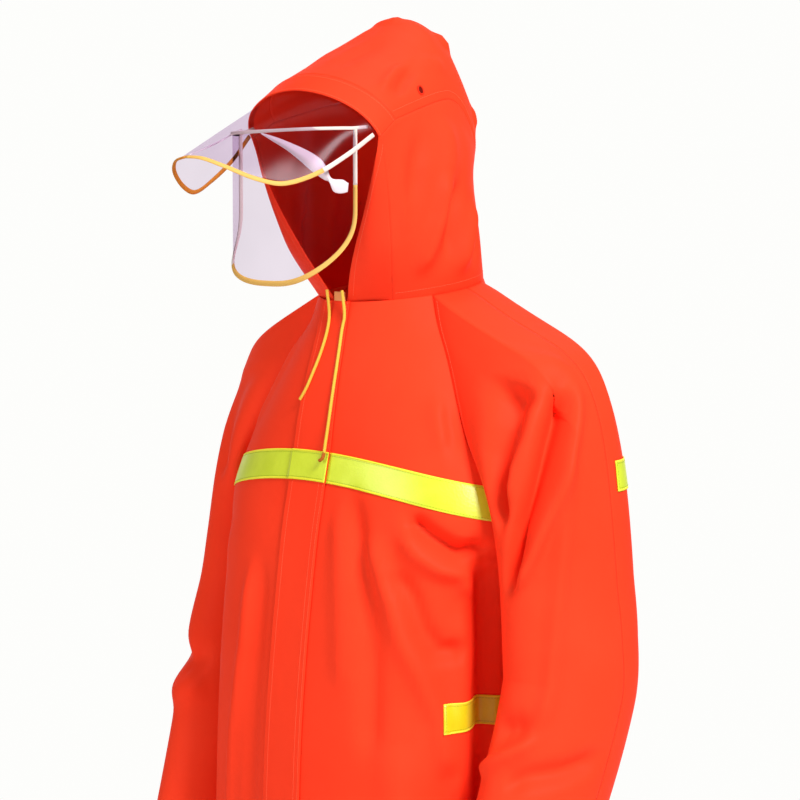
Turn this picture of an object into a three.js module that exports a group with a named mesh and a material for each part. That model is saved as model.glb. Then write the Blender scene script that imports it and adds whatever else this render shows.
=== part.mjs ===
// A hooded rain jacket as it hangs on a wearer, with a clear peak, a clear face shield and reflective tape.
// Millimetres, +Z up, the wearer's front towards -Y and the wearer's left towards +X.
// The origin is the middle of the neck seam, where the shoulders carry the jacket.
import * as THREE from "three";

// Driving sizes
const CLOTH = 1.6; // wall of the coated cloth
const CLEAR = 1.2; // wall of the clear sheets
const TAPE = 1.1; // reflective tape with its stitched edge
const SEAM_GAP = 0.3; // between two pieces at a seam
const FLAP_RIGHT = 33; // storm flap, from the centre to its free edge on the wearer's right
const FLAP_LEFT = 27; // and to its stitched edge on the wearer's left, which closes in by
const FLAP_TAPER = { by: 12, from: -170 }; // this much from this level up to the neck
const TAPE_TOP = -175; // chest tape, 35 mm wide
const TAPE_LOW = -210;
const SIDE_TAPE_TOP = -436; // tape at pocket height
const SIDE_TAPE_LOW = -469;
const UNDERARM = -232;
const CORD = 3.5;

const COLOURS = {
  cloth: [0xf4482c, 0.45],
  clear: [0xe6dfe6, 0.12],
  tape: [0xdbe83a, 0.4],
  binding: [0xf2c25c, 0.5],
  cord: [0xf5c84f, 0.7],
  tip: [0xb9692c, 0.5],
  tab: [0xe7cfa6, 0.6],
};

// Torso rings: half width, depth to the front and the back of the neck axis, squareness of the
// ring, its forward tilt and how far its sides droop below its middle.
const RINGS = [
  { z: 0, wide: 95, front: 92, back: 90, square: 2.0, tilt: 0.152, droop: 0 },
  { z: -29, wide: 108, front: 97, back: 99, square: 2.0, tilt: 0.11, droop: 3 },
  { z: -57, wide: 130, front: 104, back: 108, square: 2.05, tilt: 0.08, droop: 7 },
  { z: -94, wide: 157, front: 115, back: 119, square: 2.1, tilt: 0.05, droop: 14 },
  { z: -138, wide: 188, front: 126, back: 130, square: 2.2, tilt: 0.03, droop: 24 },
  { z: -172, wide: 211, front: 132, back: 137, square: 2.3, tilt: 0.015, droop: 34 },
  { z: -207, wide: 221, front: 139, back: 142, square: 2.45, tilt: 0, droop: 36 },
  { z: -232, wide: 213, front: 144, back: 143, square: 2.7, tilt: 0, droop: 32 },
  { z: -262, wide: 197, front: 150, back: 142, square: 3.0, tilt: 0, droop: 23 },
  { z: -310, wide: 187, front: 157, back: 140, square: 3.2, tilt: 0, droop: 14 },
  { z: -400, wide: 185, front: 167, back: 138, square: 3.3, tilt: 0, droop: 4 },
  { z: -500, wide: 189, front: 174, back: 140, square: 3.2, tilt: 0, droop: 0 },
  { z: -620, wide: 196, front: 178, back: 149, square: 3.0, tilt: 0, droop: 0 },
  { z: -742, wide: 206, front: 181, back: 160, square: 2.9, tilt: 0, droop: 0 },
];

// Raglan seams: how far round the front and the back quarter of each ring they stand.
const RAGLAN = [
  { z: 0, front: 0.75, back: 0.66 },
  { z: -57, front: 0.745, back: 0.7 },
  { z: -138, front: 0.74, back: 0.73 },
  { z: -172, front: 0.785, back: 0.76 },
  { z: -190, front: 0.815, back: 0.79 },
  { z: -207, front: 0.86, back: 0.84 },
  { z: -220, front: 0.91, back: 0.91 },
  { z: -232, front: 1, back: 1 },
];
const SHOULDER_SHARE = 0.93; // the sleeve's top seam on the back quarter of the neck ring

const UPPER_ROWS = [0, -14, -32, -57, -85, -114, -143, -175, -192, -210, -222, -232];
const LOWER_ROWS = [-245, -260, -280, -307, -340, -372, -404, -436, -469, -504, -545, -590, -640, -690, -742];
const ROWS = [...UPPER_ROWS, ...LOWER_ROWS];

// Arms: the centre of each section, counted outwards and forwards, and its half sizes.
const ARMS = {
  left: [
    { z: -310, out: 254, y: 6, across: 55, deep: 87 },
    { z: -370, out: 256, y: 10, across: 57, deep: 88 },
    { z: -428, out: 258, y: 7, across: 58, deep: 87 },
    { z: -560, out: 257, y: -42, across: 55, deep: 78 },
    { z: -690, out: 251, y: -101, across: 49, deep: 67 },
  ],
  right: [
    { z: -310, out: 248, y: 8, across: 53, deep: 82 },
    { z: -370, out: 252, y: 0, across: 54, deep: 82 },
    { z: -428, out: 255, y: -16, across: 55, deep: 81 },
    { z: -560, out: 259, y: -51, across: 53, deep: 75 },
    { z: -690, out: 259, y: -92, across: 50, deep: 68 },
  ],
};
const OUTER_SEAM_TURN = 195; // degrees round a sleeve from its inner side, by the front, to the top seam

// How a sleeve leaves the raglan seam, from the underarm (0) up to the top seam (1): its direction
// outwards, away from the middle of the sleeve and upwards, and the reach of its curve at both ends.
const CAP = {
  left: [
    { t: 0, out: 0.2, side: 0, up: -0.97, start: 0.35, end: 0.3 },
    { t: 0.12, out: 0.55, side: 0.5, up: -0.7, start: 0.35, end: 0.3 },
    { t: 0.25, out: 0.68, side: 0.5, up: -0.6, start: 0.36, end: 0.36 },
    { t: 0.45, out: 0.82, side: 0.34, up: -0.47, start: 0.42, end: 0.46 },
    { t: 0.75, out: 0.93, side: 0.17, up: -0.47, start: 0.5, end: 0.7 },
    { t: 1, out: 0.93, side: 0, up: -0.47, start: 0.52, end: 0.78 },
  ],
  right: [
    { t: 0, out: 0.2, side: 0, up: -0.97, start: 0.35, end: 0.3 },
    { t: 0.12, out: 0.55, side: 0.5, up: -0.7, start: 0.35, end: 0.3 },
    { t: 0.25, out: 0.68, side: 0.5, up: -0.6, start: 0.36, end: 0.36 },
    { t: 0.45, out: 0.82, side: 0.34, up: -0.48, start: 0.42, end: 0.44 },
    { t: 0.75, out: 0.9, side: 0.17, up: -0.5, start: 0.52, end: 0.66 },
    { t: 1, out: 0.9, side: 0, up: -0.5, start: 0.56, end: 0.74 },
  ],
};
const CAP_ROWS = { left: 14, right: 7 };
const ARM_ROWS = { left: 13, right: 9 };

// Large folds. A row is a fold's line in the cloth, its height (a valley is below 0), its half width
// and how far its ends fade, all in mm. On the body a place is [round from the centre, level], with
// the wearer's left positive. On a sleeve it is [degrees round from its inner side, level].
const FRONT_FOLDS = [
  { line: [[139, -98], [153, -122], [166, -150]], height: 4, width: 10, fade: 24 },
  { line: [[158, -105], [171, -127], [184, -150]], height: -4, width: 11, fade: 24 },
  { line: [[146, -224], [172, -238], [203, -252], [235, -240]], height: -12, width: 10, fade: 20 },
  {
    line: [[139, -238], [157, -262], [182, -277], [210, -284], [226, -312]],
    height: 8, width: 11, fade: 24,
  },
  { line: [[50, -224], [62, -280], [74, -350], [84, -430]], height: 3, width: 14, fade: 50 },
  {
    line: [[69, -216], [85, -254], [104, -306], [117, -366], [121, -435], [122, -500]],
    height: -7, width: 13, fade: 50,
  },
  {
    line: [[100, -250], [112, -280], [137, -323], [155, -370], [178, -411], [200, -456], [214, -520]],
    height: 7, width: 13, fade: 40,
  },
  {
    line: [[136, -284], [157, -318], [172, -353], [190, -376], [226, -378]],
    height: -8, width: 12, fade: 30,
  },
  {
    line: [[236, -268], [248, -330], [254, -379], [256, -504], [258, -600]],
    height: -15, width: 16, fade: 40,
  },
  {
    line: [[214, -330], [224, -379], [224, -440], [226, -500], [230, -580]],
    height: 4, width: 12, fade: 40,
  },
  { line: [[150, -480], [160, -600], [168, -742]], height: 6, width: 22, fade: 60 },
  { line: [[212, -500], [206, -560], [204, -742]], height: -5, width: 18, fade: 60 },
  { line: [[-84, -306], [-86, -396], [-103, -513], [-110, -660]], height: 4, width: 9, fade: 60 },
  { line: [[-62, -300], [-60, -405], [-62, -504], [-62, -660]], height: -3.5, width: 13, fade: 60 },
  { line: [[-97, -44], [-134, -101], [-166, -150]], height: 3, width: 10, fade: 40 },
  { line: [[-228, -270], [-240, -380], [-244, -560]], height: -8, width: 16, fade: 50 },
  { line: [[-168, -250], [-160, -400], [-172, -742]], height: 4, width: 24, fade: 60 },
];
const BACK_FOLDS = [
  { line: [[85, -130], [70, -300], [74, -560], [80, -742]], height: 5, width: 24, fade: 60 },
  { line: [[-85, -130], [-72, -300], [-78, -540], [-84, -742]], height: 5, width: 24, fade: 60 },
  { line: [[0, -230], [4, -450], [0, -742]], height: -4, width: 26, fade: 60 },
  { line: [[150, -250], [158, -420], [160, -742]], height: -5, width: 24, fade: 60 },
  { line: [[-150, -250], [-160, -420], [-158, -742]], height: -5, width: 24, fade: 60 },
];
const SLEEVE_FOLDS = {
  left: [
    {
      line: [[158, -92], [141, -114], [126, -142], [108, -172], [93, -206], [84, -240]],
      height: -17, width: 10, fade: 26,
    },
    {
      line: [[165, -90], [150, -118], [132, -148], [116, -176], [100, -215]],
      height: 5, width: 9, fade: 30,
    },
    {
      line: [
        [177, -97], [166, -121], [152, -152], [140, -181],
        [125, -214], [110, -244], [97, -277], [84, -311],
      ],
      height: -15, width: 9, fade: 30,
    },
    {
      line: [
        [184, -92], [176, -121], [167, -152], [157, -181],
        [145, -211], [131, -242], [116, -277], [101, -306],
      ],
      height: 8, width: 7, fade: 30,
    },
    { line: [[188, -62], [172, -84]], height: 4, width: 14, fade: 24 },
    {
      line: [[164, -165], [153, -212], [144, -278], [135, -339], [127, -401], [124, -458]],
      height: 4, width: 9, fade: 40,
    },
    { line: [[118, -452], [100, -452], [70, -460]], height: -7, width: 14, fade: 30 },
    { line: [[124, -462], [99, -480], [60, -505]], height: 6, width: 9, fade: 25 },
    { line: [[185, -489], [155, -497], [126, -500], [100, -510]], height: -7, width: 12, fade: 30 },
    { line: [[150, -560], [120, -600], [80, -630]], height: 4, width: 14, fade: 40 },
  ],
  right: [
    { line: [[60, -440], [100, -452], [150, -440]], height: -6, width: 16, fade: 40 },
    { line: [[60, -478], [110, -490], [160, -480]], height: 4, width: 16, fade: 40 },
    { line: [[150, -100], [118, -165], [92, -235]], height: -6, width: 17, fade: 40 },
  ],
};
const MM_PER_DEGREE = 1.25; // round a sleeve
const WIDEST_FACET = 14; // narrower folds are drawn this wide, so that the facets can follow them

// Hood: the seam between the side and the crown, with the middle of the crown beside it.
const CROWN = [
  { s: 0, x: 100, y: -103, z: 185, midY: -140, midZ: 234.5 },
  { s: 1, x: 95, y: -75, z: 193, midY: -102, midZ: 253 },
  { s: 2, x: 90, y: -46, z: 201, midY: -63, midZ: 271 },
  { s: 3, x: 83, y: -18, z: 207, midY: -28, midZ: 289 },
  { s: 4, x: 76, y: 5, z: 208, midY: -3, midZ: 300 },
  { s: 5, x: 70, y: 27, z: 198, midY: 25, midZ: 290 },
  { s: 6, x: 66, y: 43, z: 180, midY: 48, midZ: 263 },
  { s: 7, x: 61, y: 55, z: 164, midY: 65, midZ: 236 },
  { s: 8, x: 55, y: 61, z: 146, midY: 79, midZ: 208 },
  { s: 9, x: 46, y: 64, z: 122, midY: 83, midZ: 176 },
  { s: 10, x: 42, y: 68, z: 95, midY: 80, midZ: 132 },
  { s: 11, x: 38, y: 75, z: 58, midY: 82, midZ: 75 },
  { s: 12, x: 34, y: 84, z: 13, midY: 90, midZ: 14 },
];
const ARCH_POWER = 1.08; // above 1 the arches of the hood stand narrower near their tops
const CORNER = new THREE.Vector3(106, -131, 166); // lower end of the brow band's front edge
const BROW = new THREE.Vector3(0, -161, 217); // its middle
const GUSSET_TOP = 5; // width of the chin gusset at the brow band
const GUSSET_SHARE = 0.44; // where the gusset seam meets the front quarter of the neck ring
const GUSSET_SEAM = [
  [101, -117, 127],
  [95, -107, 85],
  [85, -95, 42],
];
const FACE_EDGE = [
  [90, -127, 127],
  [69, -120, 86],
  [45, -112, 46],
  [28, -104, 18],
];
const THROAT = 10; // half of the gap between the two chin gussets at the neck

// Clear peak: its free edge, from the middle to the corner.
const PEAK_EDGE = [
  [0, -309, 145],
  [22, -305, 142],
  [42, -291, 132],
  [60, -265, 118],
  [74, -238, 112],
  [88, -204, 123],
  [95, -168, 144],
  [103, -136, 169],
];

const BIND = { wide: 5.2, thick: 3 }; // binding round the free edges of the clear sheets

// Clear face shield
const SHIELD = {
  top: 175,
  lean: 2.5,
  bulge: -197,
  side: -147,
  half: 91,
  sideLow: 92,
  low: 9,
  bend: 5,
  round: 2.7,
};

// Smooth value of a column of a table at x, through every row.
function column(table, at, key, x) {
  const last = table.length - 1;
  const up = table[last][at] > table[0][at] ? 1 : -1;
  let i = 0;
  while (i < last - 1 && (x - table[i + 1][at]) * up > 0) i++;
  const slope = (k) => {
    const a = table[Math.max(k - 1, 0)];
    const b = table[Math.min(k + 1, last)];
    return (b[key] - a[key]) / (b[at] - a[at]);
  };
  const h = table[i + 1][at] - table[i][at];
  const t = Math.min(Math.max((x - table[i][at]) / h, 0), 1);
  const t2 = t * t;
  const t3 = t2 * t;
  return (
    (2 * t3 - 3 * t2 + 1) * table[i][key] +
    (t3 - 2 * t2 + t) * h * slope(i) +
    (3 * t2 - 2 * t3) * table[i + 1][key] +
    (t3 - t2) * h * slope(i + 1)
  );
}

// A smooth curve through points, as a function of the share of its length.
function curve(points) {
  const rows = points.map((p) => (p.isVector3 ? { x: p.x, y: p.y, z: p.z } : { x: p[0], y: p[1], z: p[2] }));
  let run = 0;
  rows.forEach((row, i) => {
    if (i) run += Math.hypot(row.x - rows[i - 1].x, row.y - rows[i - 1].y, row.z - rows[i - 1].z);
    row.s = run;
  });
  return (share) => new THREE.Vector3(...["x", "y", "z"].map((k) => column(rows, "s", k, share * run)));
}

// The share of a quarter ring, by length, as a point of the ring. Side is +1 for the wearer's left,
// and quarter is "front" or "back".
const QUARTER_STEPS = 64;
const quarterCache = new Map();
function quarter(z, part) {
  const id = part + z;
  if (quarterCache.has(id)) return quarterCache.get(id);
  const wide = column(RINGS, "z", "wide", z);
  const deep = column(RINGS, "z", part, z);
  const power = 2 / column(RINGS, "z", "square", z);
  const points = [];
  let run = 0;
  for (let i = 0; i <= QUARTER_STEPS; i++) {
    const turn = (Math.PI / 2) * (i / QUARTER_STEPS);
    const x = wide * Math.sin(turn) ** power;
    const y = deep * Math.max(Math.cos(turn), 0) ** power;
    if (i) run += Math.hypot(x - points[i - 1].x, y - points[i - 1].y);
    points.push({ x, y, run });
  }
  const found = { points, length: run, wide };
  quarterCache.set(id, found);
  return found;
}

function torso(z, side, part, share) {
  const q = quarter(z, part);
  const want = Math.min(Math.max(share, 0), 1) * q.length;
  let i = 0;
  while (i < QUARTER_STEPS - 1 && q.points[i + 1].run < want) i++;
  const a = q.points[i];
  const b = q.points[i + 1];
  const f = (want - a.run) / (b.run - a.run);
  const x = a.x + (b.x - a.x) * f;
  const y = (a.y + (b.y - a.y) * f) * (part === "front" ? -1 : 1);
  const drop = column(RINGS, "z", "droop", z) * (x / q.wide) ** 2;
  return new THREE.Vector3(side * x, y, z + column(RINGS, "z", "tilt", z) * y - drop);
}

const fade = (x) => {
  const t = Math.min(Math.max(x, 0), 1);
  return t * t * (3 - 2 * t);
};

// Height of the folds at a place.
function relief(folds, a, b, scale = 1) {
  let height = 0;
  for (const fold of folds) {
    const line = fold.line.map(([x, y]) => new THREE.Vector2(x * scale, y));
    const place = new THREE.Vector2(a * scale, b);
    let best = { far: Infinity, run: 0 };
    let total = 0;
    for (let i = 1; i < line.length; i++) {
      const step = line[i].clone().sub(line[i - 1]);
      const length = step.length();
      const t = Math.min(Math.max(place.clone().sub(line[i - 1]).dot(step) / length ** 2, 0), 1);
      const far = line[i - 1].clone().addScaledVector(step, t).distanceTo(place);
      if (far < best.far) best = { far, run: total + t * length };
      total += length;
    }
    const ends = fade(best.run / fold.fade + 0.25) * fade((total - best.run) / fold.fade + 0.25);
    const width = Math.max(fold.width, WIDEST_FACET);
    height += fold.height * ends * Math.exp(-((best.far / width) ** 2));
  }
  return height;
}

// Patches: outer points in rows, kept until every seam's shared points have one normal.
const patches = [];
const seamNormals = new Map();
const seamKey = (p) => [p.x, p.y, p.z].map((v) => Math.round(v * 100)).join();

function gridNormals(grid, flip) {
  const rows = grid.length;
  const cols = grid[0].length;
  return grid.map((row, i) =>
    row.map((p, j) => {
      const along = grid[i][Math.min(j + 1, cols - 1)].clone().sub(grid[i][Math.max(j - 1, 0)]);
      const down = grid[Math.min(i + 1, rows - 1)][j].clone().sub(grid[Math.max(i - 1, 0)][j]);
      return along.cross(down).normalize().multiplyScalar(flip);
    }),
  );
}

function onEdge(grid, i, j) {
  return i === 0 || j === 0 || i === grid.length - 1 || j === grid[0].length - 1;
}

// Adds a piece of sheet. Its outer points stand in rows; flip is +1 where a step along a row, then a
// step to the next row, turn about the outward normal.
function patch(name, grid, flip, colour, options = {}) {
  const normals = gridNormals(grid, flip);
  const made = { name, grid, normals, flip, colour, wall: CLOTH, lift: 0, gap: SEAM_GAP / 2, ...options };
  if (!options.alone) {
    grid.forEach((row, i) =>
      row.forEach((p, j) => {
        if (!onEdge(grid, i, j)) return;
        const key = seamKey(p);
        if (!seamNormals.has(key)) seamNormals.set(key, new THREE.Vector3());
        seamNormals.get(key).add(normals[i][j]);
      }),
    );
  }
  patches.push(made);
  return made;
}

function settledNormal(made, i, j) {
  const shared = seamNormals.get(seamKey(made.grid[i][j]));
  if (onEdge(made.grid, i, j) && shared && !made.alone) return shared.clone().normalize();
  return made.normals[i][j];
}

// A closed sheet between the outer points and the points moved inwards by the wall.
function sheet(made) {
  const { grid, gap, lift, wall } = made;
  const [first, last, low, high] = made.gaps ?? [gap, gap, gap, gap];
  const rows = grid.length;
  const cols = grid[0].length;
  const trim = (i, j) => {
    const p = grid[i][j].clone();
    const pull = (k, l, by) => by && p.add(grid[k][l].clone().sub(grid[i][j]).setLength(by));
    if (i === 0) pull(1, j, first);
    if (i === rows - 1) pull(rows - 2, j, last);
    if (j === 0) pull(i, 1, low);
    if (j === cols - 1) pull(i, cols - 2, high);
    return p;
  };
  const outer = [];
  const inner = [];
  for (let i = 0; i < rows; i++)
    for (let j = 0; j < cols; j++) {
      const p = trim(i, j);
      const n = made.source ? made.source(i, j) : settledNormal(made, i, j);
      outer.push(p.clone().addScaledVector(n, lift));
      inner.push(p.clone().addScaledVector(n, lift - wall));
    }
  const at = (i, j) => i * cols + j;
  const faces = [];
  const quad = (a, b, c, d) => faces.push(a, b, c, a, c, d);
  const base = rows * cols;
  for (let i = 0; i < rows - 1; i++)
    for (let j = 0; j < cols - 1; j++) {
      const [a, b, c, d] = [at(i, j), at(i, j + 1), at(i + 1, j + 1), at(i + 1, j)];
      quad(a, b, c, d);
      faces.push(base + a, base + c, base + b, base + a, base + d, base + c);
    }
  for (let j = 0; j < cols - 1; j++) {
    quad(at(0, j + 1), at(0, j), base + at(0, j), base + at(0, j + 1));
    quad(at(rows - 1, j), at(rows - 1, j + 1), base + at(rows - 1, j + 1), base + at(rows - 1, j));
  }
  for (let i = 0; i < rows - 1; i++) {
    quad(at(i, 0), at(i + 1, 0), base + at(i + 1, 0), base + at(i, 0));
    quad(at(i + 1, cols - 1), at(i, cols - 1), base + at(i, cols - 1), base + at(i + 1, cols - 1));
  }
  return solid([...outer, ...inner], faces);
}

// A mesh of points and faces, turned so that its faces look outwards.
function solid(points, faces) {
  let volume = 0;
  for (let i = 0; i < faces.length; i += 3) {
    const [a, b, c] = faces.slice(i, i + 3).map((k) => points[k]);
    volume += a.dot(b.clone().cross(c));
  }
  if (volume < 0) faces.reverse();
  const geometry = new THREE.BufferGeometry();
  geometry.setAttribute("position", new THREE.Float32BufferAttribute(points.flatMap((p) => p.toArray()), 3));
  geometry.setIndex(faces);
  return geometry;
}

const jacket = new THREE.Group();
jacket.name = "raincoat";

function add(name, geometry, colour) {
  const [color, roughness] = COLOURS[colour];
  const clear = colour === "clear";
  const material = new THREE.MeshStandardMaterial({ color, roughness, transparent: clear });
  material.opacity = clear ? 0.4 : 1;
  const mesh = new THREE.Mesh(geometry, material);
  mesh.name = name;
  jacket.add(mesh);
}

const steps = (from, to, count) =>
  Array.from({ length: count + 1 }, (_, i) => from + ((to - from) * i) / count);

// Fronts and back
const FLAP_COLUMNS = 2;
const FRONT_COLUMNS = { left: [8, 5], right: [5, 3] }; // to the free end of the side tape, then to the seam
const SIDE_TAPE_SHARE = 5 / 8; // where that free end stands between the flap and the seam
const BACK_COLUMNS = 8;

const raglanShare = (z, part) => (z > UNDERARM ? column(RAGLAN, "z", part, z) : 1);

// Shares of the front quarter from the centre to the seam, with the flap's edge and the free end of
// the side tape kept as columns.
function frontShares(z, side) {
  const left = FLAP_LEFT - FLAP_TAPER.by * fade(1 - z / FLAP_TAPER.from);
  const flap = (side > 0 ? left : FLAP_RIGHT) / quarter(z, "front").length;
  const seam = raglanShare(z, "front");
  const middle = flap + (seam - flap) * SIDE_TAPE_SHARE;
  const [first, second] = FRONT_COLUMNS[side > 0 ? "left" : "right"];
  return [
    ...steps(0, flap, FLAP_COLUMNS),
    ...steps(flap, middle, first).slice(1),
    ...steps(middle, seam, second).slice(1),
  ];
}

// A point of the torso with its folds, which end before the flap, the seams and the neck.
const CALM = 22;
function folded(z, side, part, share) {
  const p = torso(z, side, part, share);
  const length = quarter(z, part).length;
  const run = share * length;
  const seam = raglanShare(z, part) * length;
  const folds = part === "front" ? FRONT_FOLDS : BACK_FOLDS;
  const inner = part === "front" ? fade((run - FLAP_RIGHT) / CALM) : 1;
  const calm = inner * fade((seam - run) / CALM) * fade(-z / CALM);
  const away = new THREE.Vector3(0.72 * p.x, p.y, 0).normalize();
  return p.addScaledVector(away, calm * relief(folds, side * run, z));
}

function frontGrid(side) {
  return ROWS.map((z) => frontShares(z, side).map((share) => folded(z, side, "front", share)));
}

function backGrid() {
  return ROWS.map((z) => {
    const shares = steps(0, raglanShare(z, "back"), BACK_COLUMNS);
    const left = shares.map((share) => folded(z, 1, "back", share));
    const right = shares.slice(1).map((share) => folded(z, -1, "back", share));
    return [...right.reverse(), ...left];
  });
}

// Sleeves
function armFrame(side, z) {
  const table = ARMS[side > 0 ? "left" : "right"];
  const centre = (at) =>
    new THREE.Vector3(side * column(table, "z", "out", at), column(table, "z", "y", at), at);
  const step = 8;
  const low = Math.max(z - step, table[table.length - 1].z);
  const high = Math.min(z + step, table[0].z);
  const down = centre(low).sub(centre(high)).normalize();
  const out = new THREE.Vector3(side, 0, 0);
  const back = new THREE.Vector3().crossVectors(out, down).normalize();
  if (back.y < 0) back.negate();
  const across = column(table, "z", "across", z);
  const deep = column(table, "z", "deep", z);
  return { centre: centre(z), down, out, back, across, deep };
}

function armPoint(side, z, degrees) {
  const f = armFrame(side, z);
  const turn = THREE.MathUtils.degToRad(degrees);
  return f.centre
    .clone()
    .addScaledVector(f.out, -f.across * Math.cos(turn))
    .addScaledVector(f.back, -f.deep * Math.sin(turn));
}

// Where each lengthwise line of a half sleeve starts: up the raglan seam, then along the neck.
const NECK_COLUMNS = 2;
const halved = (points) => points.flatMap((p, i) => (i ? [points[i - 1].clone().lerp(p, 0.5), p] : [p]));
function sleeveStarts(side, part) {
  const places = [...UPPER_ROWS].reverse().map((z) => torso(z, side, part, raglanShare(z, part)));
  const seam = side > 0 && part === "front" ? halved(places) : places;
  const neckFrom = raglanShare(0, part);
  const neck =
    part === "front"
      ? steps(neckFrom, 2 - SHOULDER_SHARE, NECK_COLUMNS).slice(1)
      : steps(neckFrom, SHOULDER_SHARE, NECK_COLUMNS).slice(1);
  const onNeck = (share) => (share > 1 ? torso(0, side, "back", 2 - share) : torso(0, side, part, share));
  return [...seam, ...neck.map(onNeck)];
}

function sleeveGrid(side, part) {
  const label = side > 0 ? "left" : "right";
  const starts = sleeveStarts(side, part);
  let run = 0;
  const runs = starts.map((p, i) => (run += i ? p.distanceTo(starts[i - 1]) : 0));
  const table = ARMS[label];
  const top = table[0].z;
  const cuff = table[table.length - 1].z;
  const full = part === "front" ? OUTER_SEAM_TURN : OUTER_SEAM_TURN - 360;
  const away = part === "front" ? -1 : 1;
  const lines = starts.map((start, k) => {
    const t = runs[k] / run;
    const degrees = full * t;
    const end = armPoint(side, top, degrees);
    const reach = start.distanceTo(end);
    const cap = (key) => column(CAP[label], "t", key, t);
    const leave = new THREE.Vector3(side * cap("out"), away * cap("side"), cap("up")).normalize();
    const bend = new THREE.CubicBezierCurve3(
      start,
      start.clone().addScaledVector(leave, reach * cap("start")),
      end.clone().addScaledVector(armFrame(side, top).down, -reach * cap("end")),
      end,
    );
    const upper = steps(0, 1, CAP_ROWS[label]).map((v) => bend.getPoint(v));
    const lower = steps(top, cuff, ARM_ROWS[label]).slice(1).map((z) => armPoint(side, z, degrees));
    return [...upper, ...lower];
  });
  const grid = lines[0].map((_, i) => lines.map((line) => line[i]));
  if (part === "back") return grid;
  const normals = gridNormals(grid, -side);
  return grid.map((row, i) =>
    row.map((p, k) => {
      const t = runs[k] / run;
      const away = fade(p.distanceTo(starts[k]) / 30) * fade((1 - t) / 0.05) * fade(t / 0.1);
      const height = relief(SLEEVE_FOLDS[label], full * t, p.z, MM_PER_DEGREE);
      return p.clone().addScaledVector(normals[i][k], away * height);
    }),
  );
}

// Hood
const crownAt = (s, key) => column(CROWN, "s", key, s);
const crownSeam = (s, side) => new THREE.Vector3(side * crownAt(s, "x"), crownAt(s, "y"), crownAt(s, "z"));
const ARCH_COLUMNS = 14;
const arch = steps(0, Math.PI, ARCH_COLUMNS);

const acrossArch = (turn) => Math.sign(Math.cos(turn)) * Math.abs(Math.cos(turn)) ** ARCH_POWER;

function archRow(x, y, z, midY, midZ) {
  return arch.map((turn) => {
    const rise = Math.sin(turn);
    return new THREE.Vector3(x * acrossArch(turn), y + (midY - y) * rise, z + (midZ - z) * rise);
  });
}

const TOP_STATIONS = steps(0, 5, 6);
const BACK_STATIONS = steps(5, 12, 9);

function crownGrid() {
  const stations = [...TOP_STATIONS, ...BACK_STATIONS.slice(1)];
  return stations.map((s) => archRow(...["x", "y", "z", "midY", "midZ"].map((key) => crownAt(s, key))));
}

function browGrid() {
  const front = archRow(CORNER.x, CORNER.y, CORNER.z, BROW.y, BROW.z);
  const rear = archRow(...["x", "y", "z", "midY", "midZ"].map((key) => crownAt(0, key)));
  return steps(0, 1, 2).map((f) => front.map((p, j) => p.clone().lerp(rear[j], f)));
}

const mirrored = (p, side) => new THREE.Vector3(side * p.x, p.y, p.z);

function gussetTop() {
  const seam = crownSeam(0, 1);
  return CORNER.clone().lerp(seam, GUSSET_TOP / CORNER.distanceTo(seam));
}

const neckPoint = (share, side) =>
  share > 1 ? torso(0, side, "back", 2 - share) : torso(0, side, "front", share);
const HOOD_ROWS = BACK_STATIONS.length - 1;

const gussetSeam = curve([neckPoint(GUSSET_SHARE, 1), ...[...GUSSET_SEAM].reverse(), gussetTop()]);
const throatShare = THROAT / quarter(0, "front").length;
const faceEdge = curve([neckPoint(throatShare, 1), ...[...FACE_EDGE].reverse(), CORNER]);

function gussetGrid(side) {
  const across = 4;
  return steps(0, 1, HOOD_ROWS).map((v) =>
    steps(0, 1, across).map((u) => {
      const p = faceEdge(v).lerp(gussetSeam(v), u);
      p.y -= 6 * Math.sin(Math.PI * u) * Math.sin(Math.PI * v);
      return mirrored(p, side);
    }),
  );
}

const HOOD_BULGE = 9;
const NAPE_SHARE = 2 - crownAt(12, "x") / quarter(0, "back").length;

// The side lies between the gusset seam, the brow band and crown seam, and the neck.
function hoodSideGrid(side) {
  const top = [gussetTop(), ...TOP_STATIONS.map((s) => crownSeam(s, 1))];
  const back = [...BACK_STATIONS].reverse().map((s) => crownSeam(s, 1));
  const columns = top.length - 1;
  const neck = steps(GUSSET_SHARE, NAPE_SHARE, columns).map((share) => neckPoint(share, 1));
  neck[columns] = back[0];
  const front = steps(0, 1, HOOD_ROWS).map((v) => gussetSeam(v));
  return front.map((_, i) => {
    const v = i / HOOD_ROWS;
    return top.map((_, j) => {
      const u = j / columns;
      const p = neck[j].clone().multiplyScalar(1 - v).addScaledVector(top[j], v);
      p.addScaledVector(front[i], 1 - u).addScaledVector(back[i], u);
      p.addScaledVector(neck[0], -(1 - u) * (1 - v)).addScaledVector(neck[columns], -u * (1 - v));
      p.addScaledVector(top[0], -(1 - u) * v).addScaledVector(top[columns], -u * v);
      p.x += HOOD_BULGE * Math.sin(Math.PI * u) * Math.sin(Math.PI * v);
      return mirrored(p, side);
    });
  });
}

// Clear peak: tucked under the brow band, then out to its free edge.
const PEAK_ROWS = 5;
const PEAK_TUCK = 6; // how far it reaches behind the band's front edge
const PEAK_SWELL = 9; // how far it bellies up between the middle and the corners
const PEAK_TILT = 5; // how much higher its edge stands on the wearer's left
const peakEdge = curve(PEAK_EDGE);
const peakShare = (turn) => Math.abs(1 - turn / (Math.PI / 2));

function peakFree(turn) {
  const side = turn > Math.PI / 2 ? -1 : 1;
  const p = mirrored(peakEdge(peakShare(turn)), side);
  p.z += side * PEAK_TILT * Math.sin(Math.PI * peakShare(turn));
  return p;
}

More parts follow.
